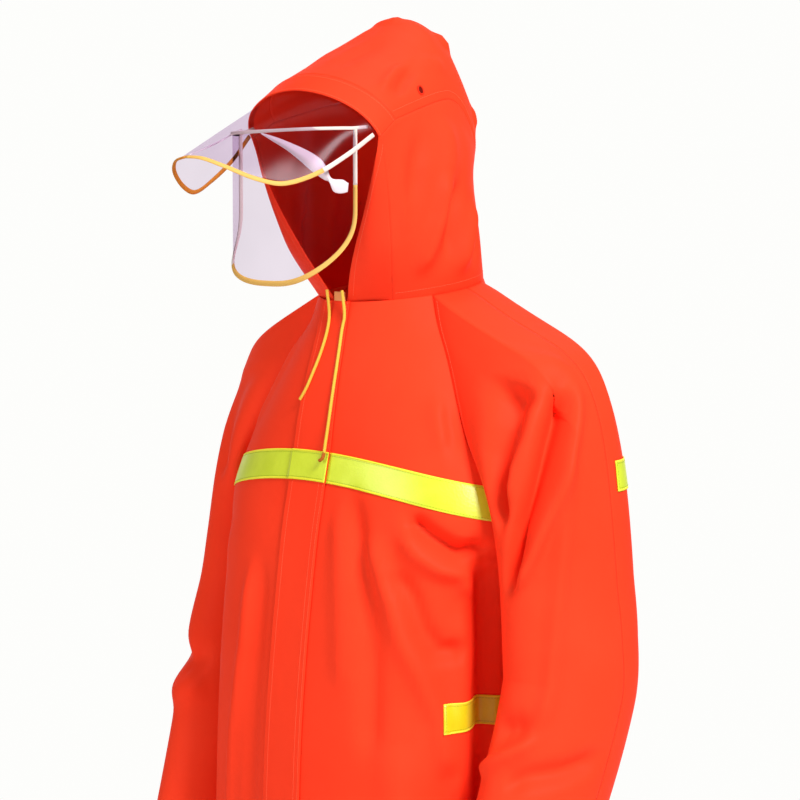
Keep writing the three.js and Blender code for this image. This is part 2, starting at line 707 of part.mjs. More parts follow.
function peakGrid() {
  const brow = browGrid();
  return arch.slice(1, -1).map((turn, k) => {
    const j = k + 1;
    const front = brow[0][j];
    const back = brow[2][j].clone().sub(front).normalize();
    const under = CLOTH + SEAM_GAP;
    const inward = settledNormal(browBand, 0, j).clone().negate();
    const tuck = front.clone().addScaledVector(back, PEAK_TUCK).addScaledVector(inward, under);
    const edge = front.clone().addScaledVector(back, -1.2).addScaledVector(inward, under);
    const free = peakFree(turn);
    const swell = PEAK_SWELL * Math.abs(Math.sin(2 * turn));
    const out = steps(0, 1, PEAK_ROWS).map((v) => {
      const p = edge.clone().lerp(free, v);
      p.z += swell * Math.sin(Math.PI * v);
      return p;
    });
    return [tuck, ...out];
  });
}

// Clear face shield
const SHIELD_COLUMNS = 16;
const SHIELD_ROWS = 5;
function shieldPoint(u, v, inset = 0) {
  const a = Math.abs(u);
  const rise = (SHIELD.sideLow - SHIELD.low - inset) * (1 - a ** SHIELD.round) ** (1 / SHIELD.round);
  const x = (SHIELD.half - inset) * u;
  const y = SHIELD.bulge + (SHIELD.side - SHIELD.bulge) * Math.abs(x / SHIELD.half) ** SHIELD.bend;
  const top = SHIELD.top + SHIELD.lean * u;
  return new THREE.Vector3(x, y, top + (SHIELD.sideLow - rise - top) * v);
}

function shieldGrid(inset) {
  const across = steps(-90, 90, SHIELD_COLUMNS).map((d) => Math.sin(THREE.MathUtils.degToRad(d)));
  return across.map((u) => steps(0, 1, SHIELD_ROWS).map((v) => shieldPoint(u, v, inset)));
}

// A rod along points, with an oval section that is wide along the given directions.
function rod(points, across, wide, thick, sides) {
  const rings = points.map((p, i) => {
    const ahead = points[Math.min(i + 1, points.length - 1)];
    const tangent = ahead.clone().sub(points[Math.max(i - 1, 0)]).normalize();
    const a = across[i].clone().addScaledVector(tangent, -across[i].dot(tangent)).normalize();
    const b = new THREE.Vector3().crossVectors(tangent, a);
    return Array.from({ length: sides }, (_, k) => {
      const turn = (2 * Math.PI * k) / sides;
      const out = p.clone().addScaledVector(a, (wide / 2) * Math.cos(turn));
      return out.addScaledVector(b, (thick / 2) * Math.sin(turn));
    });
  });
  const faces = [];
  const at = (i, k) => i * sides + (k % sides);
  for (let i = 0; i < rings.length - 1; i++)
    for (let k = 0; k < sides; k++)
      faces.push(at(i, k), at(i, k + 1), at(i + 1, k + 1), at(i, k), at(i + 1, k + 1), at(i + 1, k));
  const end = rings.length - 1;
  for (let k = 1; k < sides - 1; k++) {
    faces.push(at(0, 0), at(0, k + 1), at(0, k), at(end, 0), at(end, k), at(end, k + 1));
  }
  return solid(rings.flat(), faces);
}

function roundTube(points, diameter, count, sides) {
  const line = new THREE.CatmullRomCurve3(points, false, "centripetal");
  const shape = new THREE.Shape(
    Array.from({ length: sides }, (_, i) => {
      const turn = (2 * Math.PI * i) / sides;
      return new THREE.Vector2((diameter / 2) * Math.cos(turn), (diameter / 2) * Math.sin(turn));
    }),
  );
  const made = new THREE.ExtrudeGeometry(shape, { steps: count, extrudePath: line, bevelEnabled: false });
  made.deleteAttribute("normal");
  made.deleteAttribute("uv");
  return made;
}

// Build: fronts, back, sleeves and hood
const bare = SEAM_GAP / 2;
const frontLeft = patch("front_left", frontGrid(1), -1, "cloth");
const frontRight = patch("front_right", frontGrid(-1), 1, "cloth");
const back = patch("back", backGrid(), 1, "cloth");
const sleeveBacks = {};
for (const [label, side] of [["left", 1], ["right", -1]]) {
  for (const part of ["front", "back"]) {
    const flip = part === "front" ? -side : side;
    const made = patch(`sleeve_${part}_${label}`, sleeveGrid(side, part), flip, "cloth", {
      gaps: [SEAM_GAP, bare, bare, bare],
    });
    if (part === "back") sleeveBacks[label] = made;
  }
  patch(`hood_side_${label}`, hoodSideGrid(side), side, "cloth");
  patch(`hood_gusset_${label}`, gussetGrid(side), side, "cloth");
}
patch("hood_crown", crownGrid(), -1, "cloth");
const browBand = patch("hood_brow_band", browGrid(), -1, "cloth", { gap: 0.4 });

const hemmed = BIND.wide / 2 + SEAM_GAP;
patch("visor_brim", peakGrid(), -1, "clear", {
  wall: CLEAR,
  alone: true,
  gaps: [bare, bare, bare, hemmed + 1.2],
});
patch("visor_mask", shieldGrid(hemmed), 1, "clear", { wall: CLEAR, alone: true });

// What lies on a panel: the panel's own points, moved out along its normals.
function strip(name, columns, rowFrom, rowTo, lift, wall, colour) {
  const rows = steps(rowFrom, rowTo, rowTo - rowFrom);
  const grid = rows.map((i) => columns.map(([on, j]) => on.grid[i][j].clone()));
  const source = (i, j) => settledNormal(columns[j][0], rows[i], columns[j][1]);
  return patch(name, grid, 1, colour, { lift: lift + wall, wall, source, alone: true });
}

const count = (from, to) => steps(from, to, to - from);
const flapColumns = [
  ...count(1, FLAP_COLUMNS).reverse().map((j) => [frontRight, j]),
  ...count(0, FLAP_COLUMNS).map((j) => [frontLeft, j]),
];
const ON_CLOTH = SEAM_GAP;
const FLAP_LIFT = 0.8;
const ON_FLAP = FLAP_LIFT + CLOTH + SEAM_GAP;
const tapeRows = [ROWS.indexOf(TAPE_TOP), ROWS.indexOf(TAPE_LOW)];
const sideRows = [ROWS.indexOf(SIDE_TAPE_TOP), ROWS.indexOf(SIDE_TAPE_LOW)];
strip("storm_flap", flapColumns, 0, ROWS.length - 1, FLAP_LIFT, CLOTH, "cloth");
strip("chest_tape_flap", flapColumns, ...tapeRows, ON_FLAP, TAPE, "tape");
for (const [label, on] of [["left", frontLeft], ["right", frontRight]]) {
  const [first, second] = FRONT_COLUMNS[label];
  const lastColumn = FLAP_COLUMNS + first + second;
  const chest = count(FLAP_COLUMNS, lastColumn).map((j) => [on, j]);
  strip(`chest_tape_${label}`, chest, ...tapeRows, ON_CLOTH, TAPE, "tape");
  const low = count(FLAP_COLUMNS + first, lastColumn).map((j) => [on, j]);
  strip(`side_tape_${label}`, low, ...sideRows, ON_CLOTH, TAPE, "tape");
}
strip("back_tape", count(0, 2 * BACK_COLUMNS).map((j) => [back, j]), ...tapeRows, ON_CLOTH, TAPE, "tape");

// Tape round the back half of a sleeve: each lengthwise line of the sleeve, cut at the tape's levels.
const SLEEVE_TAPE = { top: -177, low: -210, short: 0.5, lift: { left: 1.4, right: 1.8 } };
function sleeveTape(label) {
  const on = sleeveBacks[label];
  const cut = (j, level) => {
    let i = 0;
    while (i < on.grid.length - 2 && on.grid[i + 1][j].z > level) i++;
    const a = on.grid[i][j];
    const b = on.grid[i + 1][j];
    const f = Math.min(Math.max((level - a.z) / (b.z - a.z), 0), 1);
    const n = settledNormal(on, i, j).clone().lerp(settledNormal(on, i + 1, j), f).normalize();
    return { p: a.clone().lerp(b, f), n };
  };
  const last = on.grid[0].length - 1;
  let from = 0;
  while (on.grid[0][from].z < SLEEVE_TAPE.top) from++;
  const levels = steps(SLEEVE_TAPE.top, SLEEVE_TAPE.low, 2);
  const freeEnd = (level) => {
    const a = cut(last, level);
    const b = cut(last - 1, level);
    return { p: a.p.lerp(b.p, SLEEVE_TAPE.short), n: a.n.lerp(b.n, SLEEVE_TAPE.short).normalize() };
  };
  const cuts = levels.map((level) => [...count(from, last - 1).map((j) => cut(j, level)), freeEnd(level)]);
  const grid = cuts.map((row) => row.map((c) => c.p));
  const source = (i, j) => cuts[i][j].n;
  const lift = TAPE + SLEEVE_TAPE.lift[label];
  patch(`sleeve_tape_${label}`, grid, 1, "tape", { lift, wall: TAPE, source, alone: true });
}
sleeveTape("left");
sleeveTape("right");

for (const made of patches) add(made.name, sheet(made), made.colour);

// Bindings round the free edges of the clear sheets
const peakTurns = arch.slice(1, -1);
const peakPoints = peakTurns.map(peakFree);
const peakAcross = peakTurns.map((turn) => new THREE.Vector3(Math.cos(turn), -1.2 * Math.sin(turn), -0.4));
add("brim_binding", rod(peakPoints, peakAcross, BIND.wide, BIND.thick, 8), "binding");

const shieldEdge = steps(-90, 90, 28).map((d) => shieldPoint(Math.sin(THREE.MathUtils.degToRad(d)), 1));
const sideRun = (u) => steps(0.16, 0.9, 3).map((v) => shieldPoint(u, v));
const maskPoints = [...sideRun(-1), ...shieldEdge, ...sideRun(1).reverse()];
const maskAcross = maskPoints.map((p) => new THREE.Vector3(p.x, 0, Math.min(p.z - SHIELD.sideLow, 0) * 1.4));
add("mask_binding", rod(maskPoints, maskAcross, BIND.wide, BIND.thick, 8), "binding");

// Level band that carries the shield between the two lower corners of the brow band
const BAND = { high: 4.5, thick: 1.4, drop: 5.4, end: [94, -137.2, 177] };
const bandPoints = steps(-84, 84, 16).map((d) => {
  const p = shieldPoint(Math.sin(THREE.MathUtils.degToRad(d)), 0);
  const n = new THREE.Vector3(p.x * 0.35, -90, 0).normalize();
  p.z -= BAND.drop;
  return p.addScaledVector(n, BAND.thick / 2 + SEAM_GAP + 0.4);
});
const bandEnd = new THREE.Vector3(...BAND.end);
const bandLine = [mirrored(bandEnd, -1), ...bandPoints, bandEnd];
const upright = bandLine.map(() => new THREE.Vector3(0, 0, 1));
add("mask_top_band", rod(bandLine, upright, BAND.high, BAND.thick, 8), "clear");

// Drawcord ends: height, distance from the centre and height of the middle above the cloth
const CORD_RIGHT = [
  { z: -18, x: -9.5, lift: 5.8 },
  { z: -40, x: -9.5, lift: 5.2 },
  { z: -66, x: -13, lift: 5 },
  { z: -90, x: -18.5, lift: 5 },
  { z: -104, x: -23, lift: 5 },
  { z: -112, x: -27, lift: 4.9 },
  { z: -119, x: -31.5, lift: 4.8 },
];
const CORD_LEFT = [
  { z: -18, x: 14, lift: 5.8 },
  { z: -34, x: 13, lift: 5 },
  { z: -60, x: 15.5, lift: 5 },
  { z: -95, x: 19.5, lift: 5 },
  { z: -120, x: 21.5, lift: 5 },
  { z: -146, x: 23, lift: 5.1 },
  { z: -160, x: 24, lift: 6.4 },
  { z: -176, x: 25, lift: 7.4 },
];
function overFront(row) {
  const side = Math.sign(row.x);
  const share = (d, z) => torso(z, side, "front", Math.abs(row.x + d) / quarter(z, "front").length);
  const p = share(0, row.z);
  const along = share(1, row.z).sub(share(-1, row.z));
  const down = share(0, row.z - 2).sub(share(0, Math.min(row.z + 2, 0)));
  const n = along.cross(down).normalize();
  if (n.y > 0) n.negate();
  return p.addScaledVector(n, row.lift);
}
const CORD_EXIT = [12.5, -101.5, -1]; // at the foot of each chin gusset
const cordLine = (rows) => {
  const exit = mirrored(new THREE.Vector3(...CORD_EXIT), Math.sign(rows[0].x));
  return [exit, ...rows.map(overFront)];
};
const leftLine = cordLine(CORD_LEFT);
add("drawcord_right", roundTube(cordLine(CORD_RIGHT), CORD, 18, 8), "cord");
add("drawcord_left", roundTube(leftLine, CORD, 24, 8), "cord");

// Hooked tip on the left cord
const TIP = { diameter: 4, bend: [-1.2, -1.6, -6], hook: [-5.4, -2.2, -8.6] };
const cordEnd = leftLine[leftLine.length - 1];
const cordWay = cordEnd.clone().sub(leftLine[leftLine.length - 2]);
const tipStart = cordEnd.clone().add(cordWay.setLength(2 * SEAM_GAP));
const tipTurns = [TIP.bend, TIP.hook].map((d) => tipStart.clone().add(new THREE.Vector3(...d)));
const tipPoints = [tipStart, ...tipTurns];
add("drawcord_tip", roundTube(tipPoints, TIP.diameter, 6, 8), "tip");

// Pale tab between the feet of the two chin gussets
const TAB = { wide: 17, thick: 1.6, high: 10, y: -93.4, z: -8.2 };
const tab = new THREE.BoxGeometry(TAB.wide, TAB.thick, TAB.high).translate(0, TAB.y, TAB.z);
add("throat_tab", tab, "tab");

// Stitched vent eyelets on the crown
const EYELET = { station: 2, turn: 17, hole: 2.6, rim: 5, thick: 1, lift: 0.3 };
const eyeTurn = THREE.MathUtils.degToRad(EYELET.turn);
for (const [label, side] of [["left", 1], ["right", -1]]) {
  const at = (s, turn) => {
    const seam = crownSeam(s, 1);
    const rise = Math.sin(turn);
    const y = seam.y + (crownAt(s, "midY") - seam.y) * rise;
    const z = seam.z + (crownAt(s, "midZ") - seam.z) * rise;
    return new THREE.Vector3(side * seam.x * acrossArch(turn), y, z);
  };
  const step = 0.05;
  const along = at(EYELET.station + step, eyeTurn).sub(at(EYELET.station - step, eyeTurn));
  const round = at(EYELET.station, eyeTurn + step).sub(at(EYELET.station, eyeTurn - step));
  const n = along.cross(round).normalize();
  if (n.z < 0) n.negate();
  const low = EYELET.lift;
  const high = EYELET.lift + EYELET.thick;
  const rim = [[EYELET.rim, low], [EYELET.rim, high]];
  const profile = [[EYELET.hole, low], ...rim, [EYELET.hole, high], [EYELET.hole, low]];
  const ring = new THREE.LatheGeometry(profile.map(([r, h]) => new THREE.Vector2(r, h)), 16);
  ring.applyQuaternion(new THREE.Quaternion().setFromUnitVectors(new THREE.Vector3(0, 1, 0), n));
  const centre = at(EYELET.station, eyeTurn);
  ring.translate(centre.x, centre.y, centre.z);
  add(`eyelet_${label}`, ring, "cloth");
}

export default jacket;
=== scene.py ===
"""Hooded rain jacket in its worn form: coated cloth, clear peak and face shield, tape, cords."""
import math

import bpy
import numpy as np
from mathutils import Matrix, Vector


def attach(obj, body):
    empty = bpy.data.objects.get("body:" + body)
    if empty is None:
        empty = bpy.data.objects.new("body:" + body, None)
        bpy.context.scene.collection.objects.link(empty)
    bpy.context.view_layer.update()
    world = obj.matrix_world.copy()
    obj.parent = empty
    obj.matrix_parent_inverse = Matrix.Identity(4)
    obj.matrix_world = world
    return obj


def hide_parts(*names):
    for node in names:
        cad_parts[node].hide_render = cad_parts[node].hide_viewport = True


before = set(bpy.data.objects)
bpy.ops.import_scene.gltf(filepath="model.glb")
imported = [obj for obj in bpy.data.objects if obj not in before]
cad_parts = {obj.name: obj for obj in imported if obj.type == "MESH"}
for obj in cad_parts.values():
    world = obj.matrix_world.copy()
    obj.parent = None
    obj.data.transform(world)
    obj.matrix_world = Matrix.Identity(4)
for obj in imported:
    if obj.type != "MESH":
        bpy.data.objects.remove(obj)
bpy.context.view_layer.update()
MM = 0.001

# Camera: 47 degrees round to the wearer's left, 5 up and 3 m away, with a view 0.904 m wide there
VIEW = {"azimuth": 47.0, "height": 5.0, "distance": 3.0, "target": (0.007, -0.009, -0.128), "width": 0.904}

# Millimetres, in the frame's axes
CLOTH = 1.5
FLAP_RIGHT, FLAP_LEFT = 33.0, 27.0
FLAP_TAPER = {"by": 12, "from": -170}
FLAP = {"lift": 2.6, "wall": 1.8}
TAPE_TOP, TAPE_LOW = -175.0, -210.0
SIDE_TAPE_TOP, SIDE_TAPE_LOW = -436.0, -469.0
UNDERARM, HEM = -232.0, -742.0
SHOULDER_SHARE = 0.93
OUTER_SEAM_TURN = 195.0
SIDE_TAPE_SHARE = 5 / 8
TAPE_BORDER = 0.065
TAPE_LIFT = {"flap": 3.7, "front": 1.3, "sleeve": 1.5}
SLEEVE_TAPE = {"top": -177, "low": -210, "short": 13}
CORD = 3.5


class Table:
    """Rows with named columns; a column is read smoothly at any place of the first one."""

    def __init__(self, names, rows):
        self.names = names.split()
        data = np.array(rows, float)
        self.data = data if data[-1, 0] > data[0, 0] else data[::-1]

    def __call__(self, name, x):
        xs = self.data[:, 0]
        ys = self.data[:, self.names.index(name)]
        low = np.maximum(np.arange(len(xs)) - 1, 0)
        high = np.minimum(np.arange(len(xs)) + 1, len(xs) - 1)
        slope = (ys[high] - ys[low]) / (xs[high] - xs[low])
        x = np.clip(np.asarray(x, float), xs[0], xs[-1])
        i = np.clip(np.searchsorted(xs, x, side="right") - 1, 0, len(xs) - 2)
        h = xs[i + 1] - xs[i]
        t = (x - xs[i]) / h
        t2, t3 = t * t, t**3
        start = (2 * t3 - 3 * t2 + 1) * ys[i] + (t3 - 2 * t2 + t) * h * slope[i]
        return start + (3 * t2 - 2 * t3) * ys[i + 1] + (t3 - t2) * h * slope[i + 1]


def run_along(points):
    """The length of a line up to each of its points."""
    return np.concatenate([[0], np.cumsum(np.linalg.norm(np.diff(points, axis=0), axis=1))])


def unit(vectors):
    return vectors / np.linalg.norm(vectors, axis=-1, keepdims=True)


def curve(points):
    """A smooth curve through points, as a function of the share of its length."""
    points = np.array(points, float)
    run = run_along(points)
    table = Table("s x y z", np.column_stack([run, points]))
    return lambda share: np.stack([table(k, np.asarray(share) * run[-1]) for k in "xyz"], -1)


RINGS = Table("z wide front back square tilt droop", [
    (0, 95, 92, 90, 2.0, 0.152, 0),
    (-29, 108, 97, 99, 2.0, 0.11, 3),
    (-57, 130, 104, 108, 2.05, 0.08, 7),
    (-94, 157, 115, 119, 2.1, 0.05, 14),
    (-138, 188, 126, 130, 2.2, 0.03, 24),
    (-172, 211, 132, 137, 2.3, 0.015, 34),
    (-207, 221, 139, 142, 2.45, 0, 36),
    (-232, 213, 144, 143, 2.7, 0, 32),
    (-262, 197, 150, 142, 3.0, 0, 23),
    (-310, 187, 157, 140, 3.2, 0, 14),
    (-400, 185, 167, 138, 3.3, 0, 4),
    (-500, 189, 174, 140, 3.2, 0, 0),
    (-620, 196, 178, 149, 3.0, 0, 0),
    (-742, 206, 181, 160, 2.9, 0, 0),
])
RAGLAN = Table("z front back", [
    (0, 0.75, 0.66), (-57, 0.745, 0.7), (-138, 0.74, 0.73), (-172, 0.785, 0.76),
    (-190, 0.815, 0.79), (-207, 0.86, 0.84), (-220, 0.91, 0.91), (-232, 1, 1),
])
ARMS = {
    1: Table("z out y across deep", [
        (-310, 254, 6, 55, 87), (-370, 256, 10, 57, 88), (-428, 258, 7, 58, 87),
        (-560, 257, -42, 55, 78), (-690, 251, -101, 49, 67),
    ]),
    -1: Table("z out y across deep", [
        (-310, 248, 8, 53, 82), (-370, 252, 0, 54, 82), (-428, 255, -16, 55, 81),
        (-560, 259, -51, 53, 75), (-690, 259, -92, 50, 68),
    ]),
}
ARM_TOP, CUFF = -310.0, -690.0
CAP_LOW = [
    (0, 0.2, 0, -0.97, 0.35, 0.3),
    (0.12, 0.55, 0.5, -0.7, 0.35, 0.3),
    (0.25, 0.68, 0.5, -0.6, 0.36, 0.36),
]
CAPS = {
    1: Table("t out side up start end", [
        *CAP_LOW, (0.45, 0.82, 0.34, -0.47, 0.42, 0.46), (0.75, 0.93, 0.17, -0.47, 0.5, 0.7),
        (1, 0.93, 0, -0.47, 0.52, 0.78),
    ]),
    -1: Table("t out side up start end", [
        *CAP_LOW, (0.45, 0.82, 0.34, -0.48, 0.42, 0.44), (0.75, 0.9, 0.17, -0.5, 0.52, 0.66),
        (1, 0.9, 0, -0.5, 0.56, 0.74),
    ]),
}
CROWN = Table("s x y z midY midZ", [
    (0, 100, -103, 185, -140, 234.5), (1, 95, -75, 193, -102, 253), (2, 90, -46, 201, -63, 271),
    (3, 83, -18, 207, -28, 289), (4, 76, 5, 208, -3, 300), (5, 70, 27, 198, 25, 290),
    (6, 66, 43, 180, 48, 263), (7, 61, 55, 164, 65, 236), (8, 55, 61, 146, 79, 208),
    (9, 46, 64, 122, 83, 176), (10, 42, 68, 95, 80, 132), (11, 38, 75, 58, 82, 75),
    (12, 34, 84, 13, 90, 14),
])
LAST_STATION = 12
ARCH_POWER = 1.08
CORNER = np.array([106.0, -131, 166])
BROW = np.array([0.0, -161, 217])
GUSSET_TOP, GUSSET_SHARE, THROAT = 5.0, 0.44, 10.0
GUSSET_SEAM = [(101, -117, 127), (95, -107, 85), (85, -95, 42)]
FACE_EDGE = [(90, -127, 127), (69, -120, 86), (45, -112, 46), (28, -104, 18)]
BROW_BAND = 34
GUSSET_WIDE = 45
HOOD_BULGE, GUSSET_BULGE = 9.0, 6.0
HOOD_SIDE = {"deep": 170, "high": 180}
# A stitched oval eyelet in each lower side of the crown: how far back and round it is, and its size
EYELET = {"station": 49 / 26, "turn": 0.25, "high": 5.0, "wide": 4.0}
PEAK_EDGE = curve([
    (0, -309, 145), (22, -305, 142), (42, -291, 132), (60, -265, 118), (74, -238, 112),
    (88, -204, 123), (95, -168, 144), (103, -136, 169),
])
PEAK_SWELL, PEAK_TILT, PEAK_TUCK = 9.0, 5.0, 6.0
SHIELD = {
    "top": 175, "lean": 2.5, "bulge": -197, "side": -156, "half": 95,
    "side_low": 92, "low": 9, "bend": 5, "round": 2.7,
}

# Folds. A row is a fold's line in the cloth, its height (a valley is below 0), its half width and
# how far its ends fade, all in mm. On the body a place is (round from the centre, level), with the
# wearer's left positive. On a sleeve it is (degrees round from the inner side by the front, level).
FRONT_FOLDS = [
    ([(139, -98), (153, -122), (166, -150)], 4, 10, 24),
    ([(158, -105), (171, -127), (184, -150)], -4, 11, 24),
    ([(146, -224), (172, -238), (203, -252), (235, -240)], -12, 10, 20),
    ([(139, -238), (157, -262), (182, -277), (210, -284), (226, -312)], 8, 11, 24),
    ([(50, -224), (62, -280), (74, -350), (84, -430)], 3, 14, 50),
    ([(69, -216), (85, -254), (104, -306), (117, -366), (121, -435), (122, -500)], -7, 13, 50),
    ([(100, -250), (112, -280), (137, -323), (155, -370), (178, -411), (200, -456), (214, -520)], 7, 13, 40),
    ([(136, -284), (157, -318), (172, -353), (190, -376), (226, -378)], -8, 12, 30),
    ([(236, -268), (248, -330), (254, -379), (256, -504), (258, -600)], -15, 16, 40),
    ([(214, -330), (224, -379), (224, -440), (226, -500), (230, -580)], 4, 12, 40),
    ([(150, -480), (160, -600), (168, -742)], 6, 22, 60),
    ([(212, -500), (206, -560), (204, -742)], -5, 18, 60),
    ([(-84, -306), (-86, -396), (-103, -513), (-110, -660)], 4, 9, 60),
    ([(-62, -300), (-60, -405), (-62, -504), (-62, -660)], -3.5, 13, 60),
    ([(-97, -44), (-134, -101), (-166, -150)], 3, 10, 40),
    ([(-228, -270), (-240, -380), (-244, -560)], -8, 16, 50),
    ([(-168, -250), (-160, -400), (-172, -742)], 4, 24, 60),
]
BACK_FOLDS = [
    ([(85, -130), (70, -300), (74, -560), (80, -742)], 5, 24, 60),
    ([(-85, -130), (-72, -300), (-78, -540), (-84, -742)], 5, 24, 60),
    ([(0, -230), (4, -450), (0, -742)], -4, 26, 60),
    ([(150, -250), (158, -420), (160, -742)], -5, 24, 60),
    ([(-150, -250), (-160, -420), (-158, -742)], -5, 24, 60),
]
SLEEVE_FOLDS = {
    1: [
        ([(158, -92), (141, -114), (126, -142), (108, -172), (93, -206), (84, -240)], -17, 10, 26),
        ([(165, -90), (150, -118), (132, -148), (116, -176), (100, -215)], 5, 9, 30),
        ([(177, -97), (166, -121), (152, -152), (140, -181), (125, -214), (110, -244), (97, -277),
          (84, -311)], -15, 9, 30),
        ([(184, -92), (176, -121), (167, -152), (157, -181), (145, -211), (131, -242), (116, -277),
          (101, -306)], 8, 7, 30),
        ([(188, -62), (172, -84)], 4, 14, 24),
        ([(164, -165), (153, -212), (144, -278), (135, -339), (127, -401), (124, -458)], 4, 9, 40),
        ([(118, -452), (100, -452), (70, -460)], -7, 14, 30),
        ([(124, -462), (99, -480), (60, -505)], 6, 9, 25),
        ([(185, -489), (155, -497), (126, -500), (100, -510)], -7, 12, 30),
        ([(150, -560), (120, -600), (80, -630)], 4, 14, 40),
    ],
    -1: [
        ([(60, -440), (100, -452), (150, -440)], -6, 16, 40),
        ([(60, -478), (110, -490), (160, -480)], 4, 16, 40),
        ([(150, -100), (118, -165), (92, -235)], -6, 17, 40),
    ],
}
# On the hood's side a place is (back from the gusset seam, up from the neck). On the crown it is
# (back from the brow band, round from the wearer's left).
HOOD_FOLDS = [
    ([(72, 111), (56, 72), (39, 43), (23, 20)], 6, 9, 30),
    ([(90, 95), (72, 56), (57, 26)], -6.5, 9, 30),
    ([(114, 65), (90, 36), (68, 12)], 6, 9, 30),
    ([(132, 60), (112, 34), (92, 14)], -4.5, 9, 30),
    ([(14, 157), (13, 108), (13, 65)], 3, 8, 40),
    ([(56, 164), (36, 128), (25, 92)], -4, 12, 40),
    ([(100, 165), (84, 128), (70, 100)], 4, 14, 40),
]
CROWN_FOLDS = [
    ([(49, 72), (26, 61), (6, 52)], 5, 8, 20),
    ([(56, 61), (37, 49), (20, 33)], -4.5, 8, 20),
    ([(101, 37), (78, 53), (66, 68)], 3, 9, 24),
    ([(49, 242), (26, 253), (6, 262)], 3, 9, 20),
    ([(60, 120), (36, 130), (10, 138)], -2.5, 16, 30),
    ([(20, 200), (60, 195), (95, 184)], 3, 16, 30),
    ([(92, 196), (92, 167), (98, 145)], 2.6, 7, 10),
    ([(108, 165), (118, 140)], -3, 9, 12),
    ([(131, 112), (133, 84)], 5, 8, 10),
    ([(147, 100), (165, 104)], -3.5, 9, 10),
    ([(182, 60), (205, 45)], 3.5, 10, 14),
]
# The real folds are sharper than the facets of the solids can follow, so here they stand higher.
FOLD_GAIN = {"body": 1.5, "sleeve": 1.7, "hood": 1.5, "crown": 1.15}
UNEVEN = {"body": 2.2, "hood": 2.5}  # height of the slow waves of the cloth
MM_PER_DEGREE = 1.25  # round a sleeve
CROWN_MM = {"station": 26, "turn": 100}
CALM = 22.0  # folds end this far before the flap, the seams and the neck
SIDEWAYS = 0.72  # how far a body fold stands out sideways, for 1 forwards


def quarter(z, part):
    """The front or back quarter of the torso ring at a level: x, y and the run along it."""
    turn = np.linspace(0, math.pi / 2, 500)
    power = 2 / RINGS("square", z)
    x = RINGS("wide", z) * np.sin(turn) ** power
    y = RINGS(part, z) * np.maximum(np.cos(turn), 0) ** power
    run = np.concatenate([[0], np.cumsum(np.hypot(np.diff(x), np.diff(y)))])
    return x, y, run


def torso(z, side, part, run_mm):
    """Points of the plain torso at one level, at runs in mm from the centre line."""
    x, y, run = quarter(z, part)
    run_mm = np.clip(run_mm, 0, run[-1])
    px = np.interp(run_mm, run, x)
    py = np.interp(run_mm, run, y) * (-1 if part == "front" else 1)
    drop = RINGS("droop", z) * (px / RINGS("wide", z)) ** 2
    return np.stack([side * px, py, z + RINGS("tilt", z) * py - drop], -1)


def quarter_length(z, part):
    return quarter(z, part)[2][-1]


def raglan(z, part):
    return RAGLAN(part, z) if z > UNDERARM else 1.0


def normals(grid):
    across = np.gradient(grid, axis=1)
    down = np.gradient(grid, axis=0)
    n = np.cross(across, down)
    return n / np.maximum(np.linalg.norm(n, axis=2, keepdims=True), 1e-9)


def smooth(x):
    x = np.clip(x, 0, 1)
    return x * x * (3 - 2 * x)


def relief(a, b, folds):
    """Height of the folds at places (a, b)."""
    height = np.zeros(a.shape)
    for line, size, width, fade in folds:
        line = np.array(line, float)
        steps = np.linalg.norm(np.diff(line, axis=0), axis=1)
        runs = np.concatenate([[0], np.cumsum(steps)])
        best = np.full(a.shape, 1e9)
        place = np.zeros(a.shape)
        for i, length in enumerate(steps):
            d = (line[i + 1] - line[i]) / length
            t = np.clip((a - line[i, 0]) * d[0] + (b - line[i, 1]) * d[1], 0, length)
            far = np.hypot(a - line[i, 0] - d[0] * t, b - line[i, 1] - d[1] * t)
            nearer = far < best
            best = np.where(nearer, far, best)
            place = np.where(nearer, runs[i] + t, place)
        ends = smooth((place + 0.25 * fade) / fade) * smooth((runs[-1] - place + 0.25 * fade) / fade)
        height += size * ends * np.exp(-((best / width) ** 2))
    return height


# Slow waves of hanging cloth: direction, length and start of each
SLOW_WAVES = [
    ((1, 0.3, 0.25), 42, 0.3),
    ((-0.4, 1, 0.35), 55, 1.9),
    ((0.7, -0.6, 0.5), 33, 0.7),
    ((0.2, 0.5, 1), 88, 2.6),
    ((-0.8, 0.4, 0.3), 27, 4.1),
    ((0.5, 0.9, -0.4), 24, 5.2),
]


def softness(points, size):
    """Slow unevenness of hanging cloth, the same for every piece at a place."""
    total = sum(np.sin(points @ np.array(way) / reach + start) for way, reach, start in SLOW_WAVES)
    return size * total / len(SLOW_WAVES)


def spread(length, count, fine=(0, 1.2, 2.8, 5.5)):
    """Shares along a piece of this length, closer together at both ends."""
    fine = np.array(fine)
    inner = np.linspace(fine[-1], length - fine[-1], count)[1:-1]
    return np.concatenate([fine, inner, length - fine[::-1]]) / length


def tucked(grid, edges, depth=0.15, reach=1.0, flip=1):
    """The cloth dips at its sewn edges."""
    dip = np.zeros(grid.shape[:2])
    across = np.linalg.norm(np.diff(grid, axis=1), axis=2)
    down = np.linalg.norm(np.diff(grid, axis=0), axis=2)
    from_left = np.pad(np.cumsum(across, axis=1), ((0, 0), (1, 0)))
    from_top = np.pad(np.cumsum(down, axis=0), ((1, 0), (0, 0)))
    gaps = {
        "left": from_left,
        "right": from_left[:, -1:] - from_left,
        "top": from_top,
        "bottom": from_top[-1:] - from_top,
    }
    for edge in edges:
        dip = np.maximum(dip, np.exp(-((gaps[edge] / reach) ** 2)))
    return grid - normals(grid) * flip * (depth * dip)[..., None]


# Materials
def nodes_of(material):
    material.use_nodes = True
    tree = material.node_tree
    return tree, tree.nodes["Principled BSDF"]


